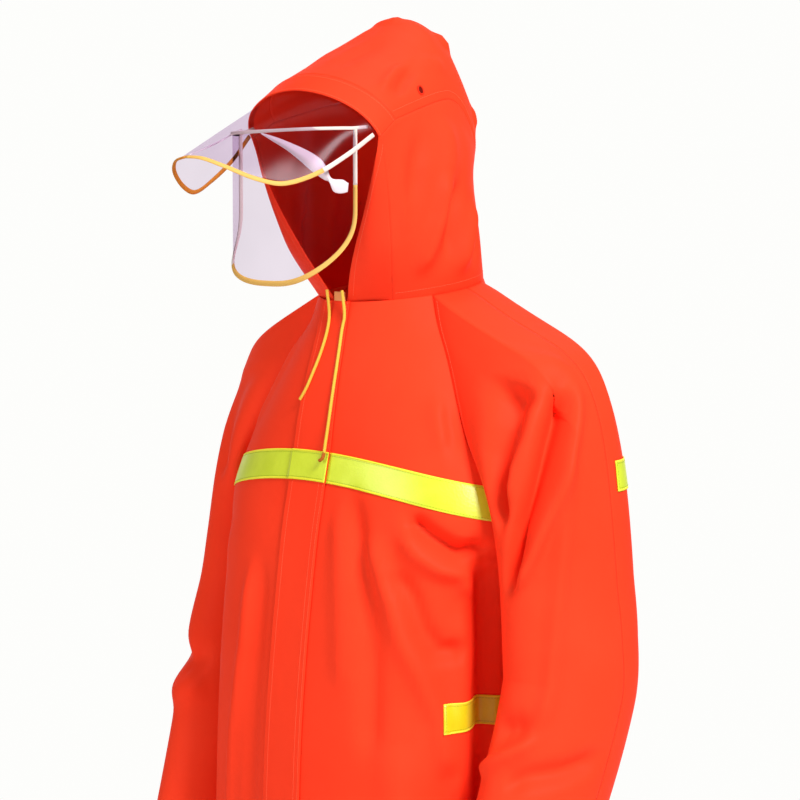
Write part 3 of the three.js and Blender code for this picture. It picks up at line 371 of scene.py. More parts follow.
def noise(tree, scale, detail=3.0, roughness=0.5, vector=None):
    node = tree.nodes.new("ShaderNodeTexNoise")
    node.inputs["Scale"].default_value = scale
    node.inputs["Detail"].default_value = detail
    node.inputs["Roughness"].default_value = roughness
    if vector is not None:
        tree.links.new(vector, node.inputs["Vector"])
    return node.outputs["Fac"]


def object_place(tree):
    return tree.nodes.new("ShaderNodeTexCoord").outputs["Object"]


def ramp(tree, value, low, high, place=(0.3, 0.7)):
    node = tree.nodes.new("ShaderNodeValToRGB")
    for element, colour, at in zip(node.color_ramp.elements, (low, high), place):
        element.color = (*colour, 1)
        element.position = at
    tree.links.new(value, node.inputs["Fac"])
    return node.outputs["Color"]


def bump(tree, height, strength, distance, under=None):
    node = tree.nodes.new("ShaderNodeBump")
    node.inputs["Strength"].default_value = strength
    node.inputs["Distance"].default_value = distance
    tree.links.new(height, node.inputs["Height"])
    if under is not None:
        tree.links.new(under, node.inputs["Normal"])
    return node.outputs["Normal"]


def cloth_material(name, low, high, roughness=0.5):
    material = bpy.data.materials.new(name)
    tree, shader = nodes_of(material)
    place = object_place(tree)
    colour = ramp(tree, noise(tree, 5, 4, 0.55, place), low, high)
    tree.links.new(colour, shader.inputs["Base Color"])
    shader.inputs["Roughness"].default_value = roughness
    shader.inputs["Specular IOR Level"].default_value = 0.04
    fine = bump(tree, noise(tree, 1100, 2, 0.6, place), 0.1, 0.0005)
    soft = bump(tree, noise(tree, 22, 3, 0.5, place), 0.25, 0.004, fine)
    tree.links.new(soft, shader.inputs["Normal"])
    return material


def tape_material(name, low, high):
    material = bpy.data.materials.new(name)
    tree, shader = nodes_of(material)
    place = object_place(tree)
    colour = ramp(tree, noise(tree, 30, 3, 0.6, place), low, high)
    tree.links.new(colour, shader.inputs["Base Color"])
    shader.inputs["Roughness"].default_value = 0.38
    shader.inputs["Coat Weight"].default_value = 0.25
    shader.inputs["Coat Roughness"].default_value = 0.3
    cells = tree.nodes.new("ShaderNodeTexVoronoi")
    cells.inputs["Scale"].default_value = 420
    tree.links.new(place, cells.inputs["Vector"])
    tree.links.new(bump(tree, cells.outputs["Distance"], 0.25, 0.0005), shader.inputs["Normal"])
    return material


def clear_material(name, tint, gloss, colour=(1.0, 0.98, 1.0), roughness=0.07, shine=1.0):
    """A thin clear film: tinted light comes through, and a part is thrown back."""
    material = bpy.data.materials.new(name)
    tree, shader = nodes_of(material)
    place = object_place(tree)
    through = tree.nodes.new("ShaderNodeBsdfTransparent")
    deeper = tuple(0.96 * c for c in tint)
    tree.links.new(ramp(tree, noise(tree, 9, 2, 0.5, place), deeper, tint), through.inputs["Color"])
    shader.inputs["Base Color"].default_value = (*colour, 1)
    shader.inputs["Metallic"].default_value = shine
    shader.inputs["Roughness"].default_value = roughness
    tree.links.new(bump(tree, noise(tree, 12, 2, 0.5, place), 0.15, 0.004), shader.inputs["Normal"])
    mix = tree.nodes.new("ShaderNodeMixShader")
    mix.inputs["Fac"].default_value = gloss
    tree.links.new(through.outputs["BSDF"], mix.inputs[1])
    tree.links.new(shader.outputs["BSDF"], mix.inputs[2])
    tree.links.new(mix.outputs["Shader"], tree.nodes["Material Output"].inputs["Surface"])
    return material


MATERIALS = {
    "cloth": cloth_material("coated cloth", (0.93, 0.043, 0.013), (0.97, 0.052, 0.017), 0.55),
    "tape": tape_material("lime tape", (0.58, 0.68, 0.016), (0.68, 0.78, 0.035)),
    "tape_low": tape_material("yellow tape", (0.6, 0.58, 0.007), (0.7, 0.67, 0.012)),
    "tape_edge": cloth_material("tape edge", (0.78, 0.72, 0.035), (0.88, 0.82, 0.07), 0.5),
    "clear": clear_material("clear sheet", (0.93, 0.885, 0.935), 0.004, roughness=0.22),
    # Painted reflection: a milky white film standing in for glare on the clear sheet
    "painted_glare_sheet": clear_material("sheet with painted glare", (0.95, 0.9, 0.94), 0.62, (0.95, 0.86, 0.9), 0.3, 0.0),
    "binding": cloth_material("binding cloth", (0.66, 0.36, 0.085), (0.76, 0.45, 0.12), 0.45),
    # Painted highlight: the yellow binding drawn whitish-pink where strong light falls on it
    "binding_painted_glare": cloth_material("binding with painted glare", (0.66, 0.55, 0.5), (0.76, 0.66, 0.6), 0.35),
    # Painted shade: the yellow binding drawn orange-brown where it lies in shade
    "binding_painted_shade": cloth_material("binding in painted shade", (0.5, 0.17, 0.02), (0.62, 0.26, 0.045), 0.5),
    "cord": cloth_material("cord cloth", (0.68, 0.42, 0.045), (0.78, 0.5, 0.07), 0.7),
    "tip": cloth_material("tip", (0.42, 0.1, 0.015), (0.52, 0.15, 0.03), 0.4),
    "eyelet": cloth_material("eyelet ring", (0.62, 0.02, 0.006), (0.72, 0.03, 0.01), 0.5),
    # Painted shade: near black, for the dark inside seen through an eyelet
    "hole": cloth_material("eyelet hole painted shade", (0.12, 0.004, 0.003), (0.16, 0.006, 0.004), 0.7),
    "tab": cloth_material("tab cloth", (0.8, 0.28, 0.09), (0.88, 0.36, 0.13), 0.7),
    "thread": cloth_material("thread", (0.93, 0.12, 0.055), (0.97, 0.16, 0.08), 0.6),
    "tape_thread": cloth_material("tape thread", (0.3, 0.36, 0.01), (0.36, 0.42, 0.015), 0.6),
}


# Pieces
def mesh_piece(name, points, faces, material, smooth_faces=True):
    mesh = bpy.data.meshes.new(name)
    mesh.from_pydata((np.asarray(points) * MM).tolist(), [], faces)
    mesh.update()
    mesh.polygons.foreach_set("use_smooth", [smooth_faces] * len(mesh.polygons))
    mesh.materials.append(MATERIALS[material])
    piece = bpy.data.objects.new(name, mesh)
    bpy.context.scene.collection.objects.link(piece)
    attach(piece, "root")
    return piece


def shell(name, grid, flip, material="cloth", wall=CLOTH, lift=0.0, node=None):
    """A thin closed sheet under the outer points of a grid."""
    grid = np.asarray(grid, float)
    rows, cols = grid.shape[:2]
    n = normals(grid) * flip
    outer = grid + n * lift
    inner = outer - n * wall
    points = np.concatenate([outer.reshape(-1, 3), inner.reshape(-1, 3)])
    index = np.arange(rows * cols).reshape(rows, cols)
    a, b, c, d = index[:-1, :-1], index[:-1, 1:], index[1:, 1:], index[1:, :-1]
    top = np.stack([a, b, c, d], -1).reshape(-1, 4)
    base = rows * cols
    under = base + top[:, ::-1]
    ring = np.concatenate([index[0, :], index[1:, -1], index[-1, -2::-1], index[-2:0:-1, 0]])
    after = np.roll(ring, -1)
    rim = np.stack([after, ring, base + ring, base + after], -1)
    faces = np.concatenate([top, under, rim])
    if flip < 0:
        faces = faces[:, ::-1]
    piece = mesh_piece(name, points, faces.tolist(), material)
    if node:
        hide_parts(node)
    return piece


def edge_places(grid, edge, inset, flip):
    """A line at a distance from one edge of a grid, with the outward normals there."""
    turned = {
        "left": lambda g: g,
        "right": lambda g: g[:, ::-1],
        "top": lambda g: g.transpose(1, 0, 2),
        "bottom": lambda g: g[::-1].transpose(1, 0, 2),
    }[edge]
    rows, ns = turned(grid), turned(normals(grid) * flip)
    steps = np.linalg.norm(np.diff(rows, axis=1), axis=2)
    run = np.pad(np.cumsum(steps, axis=1), ((0, 0), (1, 0)))

    def read(table):
        return np.array([[np.interp(inset, r, t[:, k]) for k in range(3)] for r, t in zip(run, table)])

    return read(rows), read(ns)


STITCH = {"pitch": 3.3, "long": 2.3, "wide": 0.5, "high": 0.25}


def stitch_row(line, ns, lift):
    """Stitches along a line: small raised blocks, as points and faces."""
    run = run_along(line)
    middles = np.arange(2, run[-1] - 2, STITCH["pitch"])
    at = lambda table, where: np.stack([np.interp(where, run, table[:, k]) for k in range(3)], -1)
    points, faces = [], []
    ends = [at(line, middles + d * STITCH["long"] / 2) for d in (-1, 1)]
    n = unit(at(ns, middles))
    wide = unit(np.cross(ends[1] - ends[0], n)) * STITCH["wide"] / 2
    low, high = n * (lift - 0.3), n * (lift + STITCH["high"])
    for i in range(len(middles)):
        base = len(points)
        for end in ends:
            points += [end[i] - wide[i] + low[i], end[i] + wide[i] + low[i], end[i] + wide[i] * 0.5 + high[i],
                       end[i] - wide[i] * 0.5 + high[i]]
        for a, b in ((0, 1), (1, 2), (2, 3), (3, 0)):
            faces.append([base + a, base + b, base + 4 + b, base + 4 + a])
        faces.append([base + 3, base + 2, base + 1, base])
        faces.append([base + 4, base + 5, base + 6, base + 7])
    return points, faces


def stitches(name, rows, material="thread", lift=0.0):
    """One piece for all stitch rows of a seam; a row is (grid, edge, inset, flip, first, last)."""
    points, faces = [], []
    for grid, edge, inset, flip, first, last in rows:
        line, ns = edge_places(grid, edge, inset, flip)
        count = len(line)
        cut = slice(int(first * count), max(int(last * count), 2))
        more, new = stitch_row(line[cut], ns[cut], lift)
        faces += [[len(points) + k for k in face] for face in new]
        points += more
    return mesh_piece(name, points, faces, material, smooth_faces=False)


# Fronts and back
def upper_rows():
    return -spread(-UNDERARM, 52) * -UNDERARM


def lower_rows():
    return np.concatenate([np.linspace(UNDERARM, HEM + 4, 118)[1:], [HEM + 1.6, HEM]])


UPPER = upper_rows()
ROWS = np.concatenate([UPPER, lower_rows()])


def front_places(z):
    """Runs in mm from the centre to the seam at one level."""
    length = quarter_length(z, "front") * raglan(z, "front")
    return spread(length, 44) * length


def body_relief(points, runs, levels, part):
    grid = np.asarray(points)
    folds = FRONT_FOLDS if part == "front" else BACK_FOLDS
    length = np.array([quarter_length(z, part) * raglan(z, part) for z in levels[:, 0]])[:, None]
    calm = smooth((length - np.abs(runs)) / CALM)
    if part == "front":
        calm = calm * smooth((np.abs(runs) - FLAP_RIGHT) / CALM)
    height = relief(runs, levels, folds) * FOLD_GAIN["body"] * calm + softness(grid, UNEVEN["body"])
    height *= smooth(-levels / CALM)
    outward = unit(np.stack([grid[..., 0] * SIDEWAYS, grid[..., 1], np.zeros(grid.shape[:-1])], -1))
    return grid + outward * height[..., None]


def body_points(z, side, part, runs):
    base = torso(z, side, part, runs)
    return body_relief(base[None], side * np.asarray(runs)[None], np.full((1, len(runs)), z), part)[0]


def body_grid(side, part, rows, places):
    return np.array([body_points(z, side, part, places(z)) for z in rows])


front = {side: body_grid(side, "front", ROWS, front_places) for side in (1, -1)}


def back_places(z):
    length = quarter_length(z, "back") * raglan(z, "back")
    fine = spread(2 * length, 80)
    return (fine - 0.5) * 2 * length


def back_row(z):
    runs = back_places(z)
    left = body_points(z, 1, "back", runs[runs >= 0])
    right = body_points(z, -1, "back", -runs[runs < 0])
    return np.concatenate([right, left])


back = np.array([back_row(z) for z in ROWS])
LABEL = {1: "left", -1: "right"}  # the wearer's
for side in (1, -1):
    body = tucked(front[side], ["top", "right"], flip=-side)
    shell(f"front_{LABEL[side]}_cloth", body, -side, node=f"front_{LABEL[side]}")
shell("back_cloth", tucked(back, ["top"]), 1, node="back")


# Sleeves
def arm_frame(side, z):
    table = ARMS[side]
    low, high = max(z - 8, CUFF), min(z + 8, ARM_TOP)
    centre = lambda at: np.array([side * table("out", at), table("y", at), at])
    down = unit(centre(low) - centre(high))
    backwards = unit(np.cross([side, 0, 0], down))
    if backwards[1] < 0:
        backwards = -backwards
    return centre(z), down, backwards, table("across", z), table("deep", z)


def arm_points(side, z, degrees):
    centre, _, backwards, across, deep = arm_frame(side, z)
    turn = np.radians(degrees)[:, None]
    return centre - np.array([side, 0, 0]) * across * np.cos(turn) - backwards * deep * np.sin(turn)


def sleeve_starts(side, part):
    edge = front[side][: len(UPPER), -1] if part == "front" else back[: len(UPPER), -1 if side > 0 else 0]
    seam = edge[::-1]
    length = quarter_length(0, part)
    if part == "front":
        shares = np.linspace(RAGLAN("front", 0), 2 - SHOULDER_SHARE, 12)[1:]
        on_front = torso(0, side, "front", shares[shares <= 1] * length)
        behind = torso(0, side, "back", (2 - shares[shares > 1]) * quarter_length(0, "back"))
        neck = np.concatenate([on_front, behind])
    else:
        neck = torso(0, side, "back", np.linspace(RAGLAN("back", 0), SHOULDER_SHARE, 12)[1:] * length)
    return np.concatenate([seam, neck])


def sleeve_grid(side, part):
    starts = sleeve_starts(side, part)
    runs = run_along(starts)
    t = runs / runs[-1]
    full = OUTER_SEAM_TURN if part == "front" else OUTER_SEAM_TURN - 360
    degrees = full * t
    ends = arm_points(side, ARM_TOP, degrees)
    reach = np.linalg.norm(ends - starts, axis=1)[:, None]
    away = -1 if part == "front" else 1
    cap = CAPS[side]
    leave = unit(np.stack([side * cap("out", t), away * cap("side", t), cap("up", t)], -1))
    one = starts + leave * reach * cap("start", t)[:, None]
    two = ends - arm_frame(side, ARM_TOP)[1] * reach * cap("end", t)[:, None]
    rows = []
    for v in np.concatenate([[0, 0.006, 0.014, 0.026], np.linspace(0.04, 1, 58)]):
        rest = 1 - v
        rows.append(rest**3 * starts + 3 * rest**2 * v * one + 3 * rest * v**2 * two + v**3 * ends)
    for z in np.concatenate([np.linspace(ARM_TOP, CUFF + 3, 84)[1:], [CUFF + 1.4, CUFF]]):
        rows.append(arm_points(side, z, degrees))
    grid = np.array(rows)
    turn = np.broadcast_to(degrees % 360, grid.shape[:2])
    if part == "back":
        turn = np.where(turn < 1e-6, 360.0, turn)
    folds = [([(a * MM_PER_DEGREE, b) for a, b in line], *rest) for line, *rest in SLEEVE_FOLDS[side]]
    height = relief(turn * MM_PER_DEGREE, grid[..., 2], folds) * FOLD_GAIN["sleeve"] if part == "front" else 0
    height = height * smooth((1 - t) / 0.05) * smooth(t / 0.1)
    height = height + softness(grid, UNEVEN["body"])
    height = height * smooth(np.linalg.norm(grid - grid[:1], axis=2) / 30)
    flip = -side if part == "front" else side
    return grid + normals(grid) * flip * height[..., None], flip


sleeves = {}
for side in (1, -1):
    for part in ("front", "back"):
        grid, flip = sleeve_grid(side, part)
        grid = tucked(grid, ["top"], flip=flip)
        sleeves[side, part] = grid, flip
        shell(f"sleeve_{part}_{LABEL[side]}_cloth", grid, flip, node=f"sleeve_{part}_{LABEL[side]}")
    grid, flip = sleeves[side, "front"]
    seam = np.argmin(np.abs(np.linspace(0, 1, grid.shape[1]) - 0.86)) / grid.shape[1]
    stitches(f"raglan_stitches_{LABEL[side]}", [(grid, "top", 8.5, flip, 0.12, seam)])


# Hood
def arch_row(values, turn):
    x, y, z, mid_y, mid_z = values
    rise = np.sin(turn)
    across = np.sign(np.cos(turn)) * np.abs(np.cos(turn)) ** ARCH_POWER
    return np.stack([x * across, y + (mid_y - y) * rise, z + (mid_z - z) * rise], -1)


def crown_values(s):
    return [CROWN(k, s) for k in ("x", "y", "z", "midY", "midZ")]


def crown_seam(s):
    return np.array([CROWN("x", s), CROWN("y", s), CROWN("z", s)])


ARCH = spread(math.pi * 100, 78) * math.pi
TOP_STATIONS = np.linspace(0, 5, 46)
BACK_STATIONS = np.linspace(5, LAST_STATION, 56)
STATIONS = np.concatenate([TOP_STATIONS, BACK_STATIONS[1:]])
plain_crown = np.array([arch_row(crown_values(s), ARCH) for s in STATIONS])
back_mm, round_mm = np.meshgrid(ARCH * CROWN_MM["turn"], STATIONS * CROWN_MM["station"])[::-1]
crown_height = relief(back_mm, round_mm, CROWN_FOLDS) * FOLD_GAIN["crown"]
crown_height += softness(plain_crown, UNEVEN["hood"])
from_seam = np.minimum(round_mm, round(math.pi * CROWN_MM["turn"]) - round_mm)
eyelet_back, eyelet_up = EYELET["station"] * CROWN_MM["station"], EYELET["turn"] * CROWN_MM["turn"]
crown_height *= smooth(np.hypot(back_mm - eyelet_back, from_seam - eyelet_up) / 10 - 0.7)
ends_calm = smooth(STATIONS / 0.8) * smooth((LAST_STATION - STATIONS) / 0.8)
crown_height *= smooth(np.sin(ARCH) * 3)[None] * ends_calm[:, None]
crown = plain_crown - normals(plain_crown) * crown_height[..., None]
brow_front = arch_row([CORNER[0], CORNER[1], CORNER[2], BROW[1], BROW[2]], ARCH)
brow_rear = arch_row(crown_values(0), ARCH)
brow = np.array([brow_front + (brow_rear - brow_front) * f for f in spread(BROW_BAND, 8)])


def neck_points(shares):
    rows = []
    for share in np.atleast_1d(shares):
        part = "front" if share <= 1 else "back"
        on = share if share <= 1 else 2 - share
        rows.append(torso(0, 1, part, np.array([on * quarter_length(0, part)]))[0])
    return np.array(rows)


gusset_top = CORNER + (crown_seam(0) - CORNER) * GUSSET_TOP / np.linalg.norm(crown_seam(0) - CORNER)
gusset_seam = curve([neck_points(GUSSET_SHARE)[0], *GUSSET_SEAM[::-1], gusset_top])
face_edge = curve([neck_points(THROAT / quarter_length(0, "front"))[0], *FACE_EDGE[::-1], CORNER])
MIRROR = np.array([-1.0, 1, 1])


def gusset_grid():
    v = np.linspace(0, 1, len(BACK_STATIONS))[:, None, None]
    u = spread(GUSSET_WIDE, 12)[None, :, None]
    grid = face_edge(v[:, 0, 0])[:, None] * (1 - u) + gusset_seam(v[:, 0, 0])[:, None] * u
    grid[..., 1] -= (GUSSET_BULGE * np.sin(math.pi * u) * np.sin(math.pi * v))[..., 0]
    return grid


def hood_side_grid():
    band_end = [gusset_top + (crown_seam(0) - gusset_top) * f for f in np.linspace(0, 1, 8)]
    top = np.array([*band_end, *[crown_seam(s) for s in TOP_STATIONS[1:]]])
    rear = np.array([crown_seam(s) for s in BACK_STATIONS[::-1]])
    nape = 2 - CROWN("x", LAST_STATION) / quarter_length(0, "back")
    neck = neck_points(np.linspace(GUSSET_SHARE, nape, len(top)))
    neck[-1] = rear[0]
    v = np.linspace(0, 1, len(rear))[:, None, None]
    u = np.linspace(0, 1, len(top))[None, :, None]
    front_seam = gusset_seam(v[:, 0, 0])[:, None]
    grid = neck[None] * (1 - v) + top[None] * v + front_seam * (1 - u) + rear[:, None] * u
    grid = grid - neck[0] * (1 - u) * (1 - v) - neck[-1] * u * (1 - v)
    grid = grid - top[0] * (1 - u) * v - top[-1] * u * v
    grid[..., 0] += (HOOD_BULGE * np.sin(math.pi * u) * np.sin(math.pi * v))[..., 0]
    return grid


def reaching(grid, bottom=False, by=2.0, under=0.4):
    """The grid with one more row, which closes the neck seam from inside."""
    grid = grid[::-1] if bottom else grid
    more = grid[0] + unit(grid[0] - grid[1]) * by
    more[:, :2] *= 1 - under / np.linalg.norm(more[:, :2], axis=1)[:, None]
    grid = np.concatenate([more[None], grid])
    return grid[::-1] if bottom else grid


def calm_edges(rows, cols):
    """1 inside a grid, falling to 0 at its edges."""
    return smooth(2.5 * np.sin(math.pi * rows)[:, None] * np.sin(math.pi * cols)[None])


def soft_side(grid):
    up, along = np.linspace(0, 1, grid.shape[0]), np.linspace(0, 1, grid.shape[1])
    a, b = np.meshgrid(along * HOOD_SIDE["deep"], up * HOOD_SIDE["high"])
    height = relief(a, b, HOOD_FOLDS) * FOLD_GAIN["hood"] + softness(grid, UNEVEN["hood"])
    return grid + normals(grid) * (height * calm_edges(up, along))[..., None]


crown_cloth = reaching(tucked(crown, ["top", "left", "right", "bottom"], flip=-1), bottom=True)
shell("hood_crown_cloth", crown_cloth, -1, node="hood_crown")
shell("hood_brow_band_cloth", tucked(brow, ["bottom"], flip=-1), -1, node="hood_brow_band", lift=0.4)
stitches("brow_stitches", [(brow, "bottom", 3.2, -1, 0, 1), (brow, "top", 2.5, -1, 0, 1)], lift=0.4)
stitches("crown_stitches", [(crown, "left", 9.5, -1, 0.01, 1), (crown, "right", 9.5, -1, 0.01, 1)])

hood_parts = {"gusset": gusset_grid(), "side": soft_side(hood_side_grid())}
for side in (1, -1):
    turn_over = MIRROR if side < 0 else 1
    for label, edges in (("gusset", ["right", "top"]), ("side", ["left", "right", "top", "bottom"])):
        grid = tucked(hood_parts[label] * turn_over, edges, flip=side)
        shell(f"hood_{label}_{LABEL[side]}_cloth", reaching(grid), side, node=f"hood_{label}_{LABEL[side]}")
        row = (grid, "top", 8.5, side, 0.02, 0.98) if label == "side" else (grid, "left", 7, side, 0.04, 0.98)
        stitches(f"hood_{label}_{LABEL[side]}_stitches", [row])


# Storm flap and tapes
def strip_grid(levels, runs):
    rows = []
    for z in levels:
        taper = 1 - FLAP_TAPER["by"] / FLAP_LEFT * smooth(1 - z / FLAP_TAPER["from"])
        left = body_points(z, 1, "front", runs[runs >= 0] * taper)
        right = body_points(z, -1, "front", -runs[runs < 0])
        rows.append(np.concatenate([right, left]))
    return np.array(rows)


flap_runs = (spread(FLAP_LEFT + FLAP_RIGHT, 16) * (FLAP_LEFT + FLAP_RIGHT)) - FLAP_RIGHT
flap = strip_grid(ROWS, flap_runs)
shell("storm_flap_cloth", flap, -1, lift=FLAP["lift"], wall=FLAP["wall"], node="storm_flap")
stitches("flap_stitches", [
    (flap, "right", 2.2, -1, 0, 1), (flap, "right", 8.6, -1, 0, 1), (flap, "left", 7.5, -1, 0, 1),
], lift=FLAP["lift"])
tape_levels = np.linspace(TAPE_TOP, TAPE_LOW, 14)


def tape(name, grid, flip, lift, node, material="tape", ends=()):
    """A tape with its paler sewn borders and its rows of stitches."""
    shell(name, grid, flip, material, wall=0.9, lift=lift, node=node)
    borders = [np.linspace(grid[0], grid[0] + (grid[-1] - grid[0]) * TAPE_BORDER, 3)]
    borders.append(np.linspace(grid[-1] + (grid[0] - grid[-1]) * TAPE_BORDER, grid[-1], 3))
    for border, edge in zip(borders, ("top", "bottom")):
        border_name = f"{name}_{edge}_border"
        shell(border_name, border, flip, "tape_edge", wall=0.3, lift=lift + 0.12)
    rows = [(grid, edge, 3.4, flip, 0, 1) for edge in ("top", "bottom", *ends)]
    stitches(f"{name}_stitches", rows, "tape_thread", lift)


def chest_tape(side):
    start = FLAP_LEFT if side > 0 else FLAP_RIGHT

    def runs(z):
        end = quarter_length(z, "front") * raglan(z, "front")
        return np.linspace(start + 0.3, end - 0.8, 46)

    grid = body_grid(side, "front", tape_levels, runs)
    tape(f"chest_tape_{LABEL[side]}_band", grid, -side, TAPE_LIFT["front"], f"chest_tape_{LABEL[side]}")


def side_tape(side):
    def runs(z):
        end = quarter_length(z, "front")
        return np.linspace(FLAP_LEFT + (end - FLAP_LEFT) * SIDE_TAPE_SHARE, end - 0.5, 24)

    grid = body_grid(side, "front", np.linspace(SIDE_TAPE_TOP, SIDE_TAPE_LOW, 12), runs)
    tape(f"side_tape_{LABEL[side]}_band", grid, -side, TAPE_LIFT["front"], f"side_tape_{LABEL[side]}",
         "tape_low", ("left",))


tape("chest_tape_flap_band", strip_grid(tape_levels, flap_runs), -1, TAPE_LIFT["flap"], "chest_tape_flap")
for side in (1, -1):
    chest_tape(side)
    side_tape(side)
tape("back_tape_band", np.array([back_row(z) for z in tape_levels]), 1, TAPE_LIFT["front"], "back_tape")


def sleeve_tape(side):
    """Round the back of the sleeve, from its raglan seam to just before the outer seam."""
    grid, flip = sleeves[side, "back"]
    first = int(np.argmax(grid[0, :, 2] > SLEEVE_TAPE["top"]))
    level = int(np.argmin(np.abs(grid[:, -1, 2] - SLEEVE_TAPE["top"])))
    steps = np.linalg.norm(np.diff(grid[level, ::-1], axis=0), axis=1)
    last = grid.shape[1] - 1 - int(np.argmax(np.cumsum(steps) > SLEEVE_TAPE["short"]))
    lines = []
    for j in range(first, last):
        levels = grid[:, j, 2][::-1]
        wanted = np.linspace(SLEEVE_TAPE["top"], SLEEVE_TAPE["low"], 12)
        cut = [np.interp(wanted, levels, grid[:, j, k][::-1]) for k in range(3)]
        lines.append(np.array(cut).T)
    band = np.array(lines).transpose(1, 0, 2)
    tape(f"sleeve_tape_{LABEL[side]}_band", band, flip, TAPE_LIFT["sleeve"], f"sleeve_tape_{LABEL[side]}",
         ends=("right",))


sleeve_tape(1)
sleeve_tape(-1)


# Clear peak and face shield
def peak_free(turn):
    share = np.abs(1 - turn / (math.pi / 2))
    side = np.where(turn > math.pi / 2, -1.0, 1.0)
    p = PEAK_EDGE(share)
    p[..., 0] *= side
    p[..., 2] += side * PEAK_TILT * np.sin(math.pi * share)
    return p


PEAK_TURNS = np.linspace(0.1, math.pi - 0.1, 120)


def peak_grid():
    turn = PEAK_TURNS
    front_row = arch_row([CORNER[0], CORNER[1], CORNER[2], BROW[1], BROW[2]], turn)
    rear_row = arch_row(crown_values(0), turn)
    out = unit(front_row - rear_row)
    inward = normals(np.array([front_row, rear_row]))[0]
    under = 2.0
    tuck = front_row - out * PEAK_TUCK + inward * under
    edge = front_row + out * 1.2 + inward * under
    free = peak_free(turn)
    end = free - unit(free - edge) * 1.5
    rows = [tuck]
    for v in np.linspace(0, 1, 50):
        p = edge + (end - edge) * v
        p[:, 2] += PEAK_SWELL * np.abs(np.sin(2 * turn)) * math.sin(math.pi * v)
        rows.append(p)
    return np.array(rows).transpose(1, 0, 2)


def peak_down(turns):
    """The peak's own direction at its free edge."""
    grid = peak_grid()
    inner = [np.interp(turns, PEAK_TURNS, grid[:, 40, k]) for k in range(3)]
    return peak_free(turns) - np.stack(inner, -1)


def shield_points(u, v, inset=0.0):
    a = np.minimum(np.abs(u), 1)
    rise = (SHIELD["side_low"] - SHIELD["low"] - inset) * (1 - a ** SHIELD["round"]) ** (1 / SHIELD["round"])
    x = (SHIELD["half"] - inset) * u
    y = SHIELD["bulge"] + (SHIELD["side"] - SHIELD["bulge"]) * np.abs(x / SHIELD["half"]) ** SHIELD["bend"]
    top = SHIELD["top"] + SHIELD["lean"] * u
    z = top + (SHIELD["side_low"] - rise - top) * v
    return np.stack(np.broadcast_arrays(x, y, z), -1)


def rod(name, points, across, wide, thick, material, node=None, sides=14):
    """A bound edge: an oval section along points, wide along the given directions."""
    points, across = np.asarray(points, float), np.asarray(across, float)
    tangent = unit(np.gradient(points, axis=0))
    a = unit(across - tangent * (across * tangent).sum(1)[:, None])
    b = np.cross(tangent, a)
    turn = np.linspace(0, 2 * math.pi, sides, endpoint=False)
    ring = points[:, None] + a[:, None] * (wide / 2 * np.cos(turn))[None, :, None]
    ring = ring + b[:, None] * (thick / 2 * np.sin(turn))[None, :, None]
    index = np.arange(len(points) * sides).reshape(len(points), sides)
    nxt = np.roll(index, -1, axis=1)
    faces = np.stack([index[:-1], nxt[:-1], nxt[1:], index[1:]], -1).reshape(-1, 4).tolist()
    faces.append(index[0, ::-1].tolist())
    faces.append(index[-1].tolist())
    piece = mesh_piece(name, ring.reshape(-1, 3), faces, material)
    if node:
        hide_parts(node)
    return piece


shell("peak_clear", peak_grid(), -1, "clear", wall=0.5, node="visor_brim")
# The peak's binding: a painted highlight near its root, painted shade along its far side
PEAK_STRETCHES = [
    ("near_root", 0.008, 0.5, "binding_painted_glare"),
    ("near", 0.5, 1.56, "binding"),
    ("far", 1.56, math.pi - 0.008, "binding_painted_shade"),
]
for label, first, last, material in PEAK_STRETCHES:
    turns = np.linspace(first, last, 50)
    piece = rod(f"peak_binding_{label}", peak_free(turns), peak_down(turns), 5.2, 2.6, material)
    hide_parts("brim_binding")

arc = np.sin(np.radians(np.linspace(-90, 90, 110)))
shield = np.array([shield_points(np.full(60, u), np.linspace(0, 1, 60), 1.4) for u in arc])
shell("shield_clear", shield, 1, "clear", wall=0.5, node="visor_mask")
down_side = np.linspace(0.04, 0.97, 24)
edge_line = np.concatenate([
    shield_points(np.full(24, -1.0), down_side),
    shield_points(np.sin(np.radians(np.linspace(-90, 90, 160))), np.ones(160)),
    shield_points(np.full(24, 1.0), down_side[::-1]),
])
edge_down = np.minimum(edge_line[:, 2] - SHIELD["side_low"], 0) * 1.4
edge_across = np.stack([edge_line[:, 0], np.zeros(len(edge_line)), edge_down], -1)
# The shield's binding carries a painted highlight, whitish, at its far and near stretches
EDGE_STRETCHES = [
    ("far", 0, 60, "binding_painted_glare"), ("low", 60, 190, "binding"), ("near", 190, 208, "binding_painted_glare"),
]
for label, first, last, material in EDGE_STRETCHES:
    cut = slice(first, last + 1)
    piece = rod(f"shield_binding_{label}", edge_line[cut], edge_across[cut], 6.2, 2.4, material)
    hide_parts("mask_binding")

band_degrees = np.radians(np.linspace(-84, 84, 80))
band_line = shield_points(np.sin(band_degrees), np.zeros(80))
band_out = np.stack([band_line[:, 0] * 0.35, np.full(80, -90.0), np.zeros(80)], -1)
band_line = band_line + unit(band_out) * 1.4
band_line[:, 2] -= 2.2
band_end = np.array([94, -137.2, 177])
band_line = curve([band_end * MIRROR, *band_line[::8], band_line[-1], band_end])(np.linspace(0, 1, 120))
upright = np.tile([0.0, 0, 1], (120, 1))
# The top band is the binding with a painted highlight, whitish where the light catches it
rod("shield_top_band", band_line, upright, 3.6, 1.2, "binding_painted_glare", "mask_top_band")

# A fold of the face shield, between two lines on it, and a faint crease of the peak; both are drawn milky
# white, a painted reflection of the lights on the clear sheet
RIBBON_HIGH = [
    (-0.1, 0.02), (0.225, 0.065), (0.51, 0.12), (0.675, 0.17), (0.78, 0.23),
    (0.83, 0.3), (0.865, 0.39), (0.935, 0.44), (0.97, 0.51),
]
RIBBON_LOW = [
    (-0.1, 0.03), (0.1, 0.08), (0.365, 0.15), (0.565, 0.23), (0.735, 0.33),
    (0.815, 0.39), (0.845, 0.41), (0.88, 0.5), (0.965, 0.58),
]


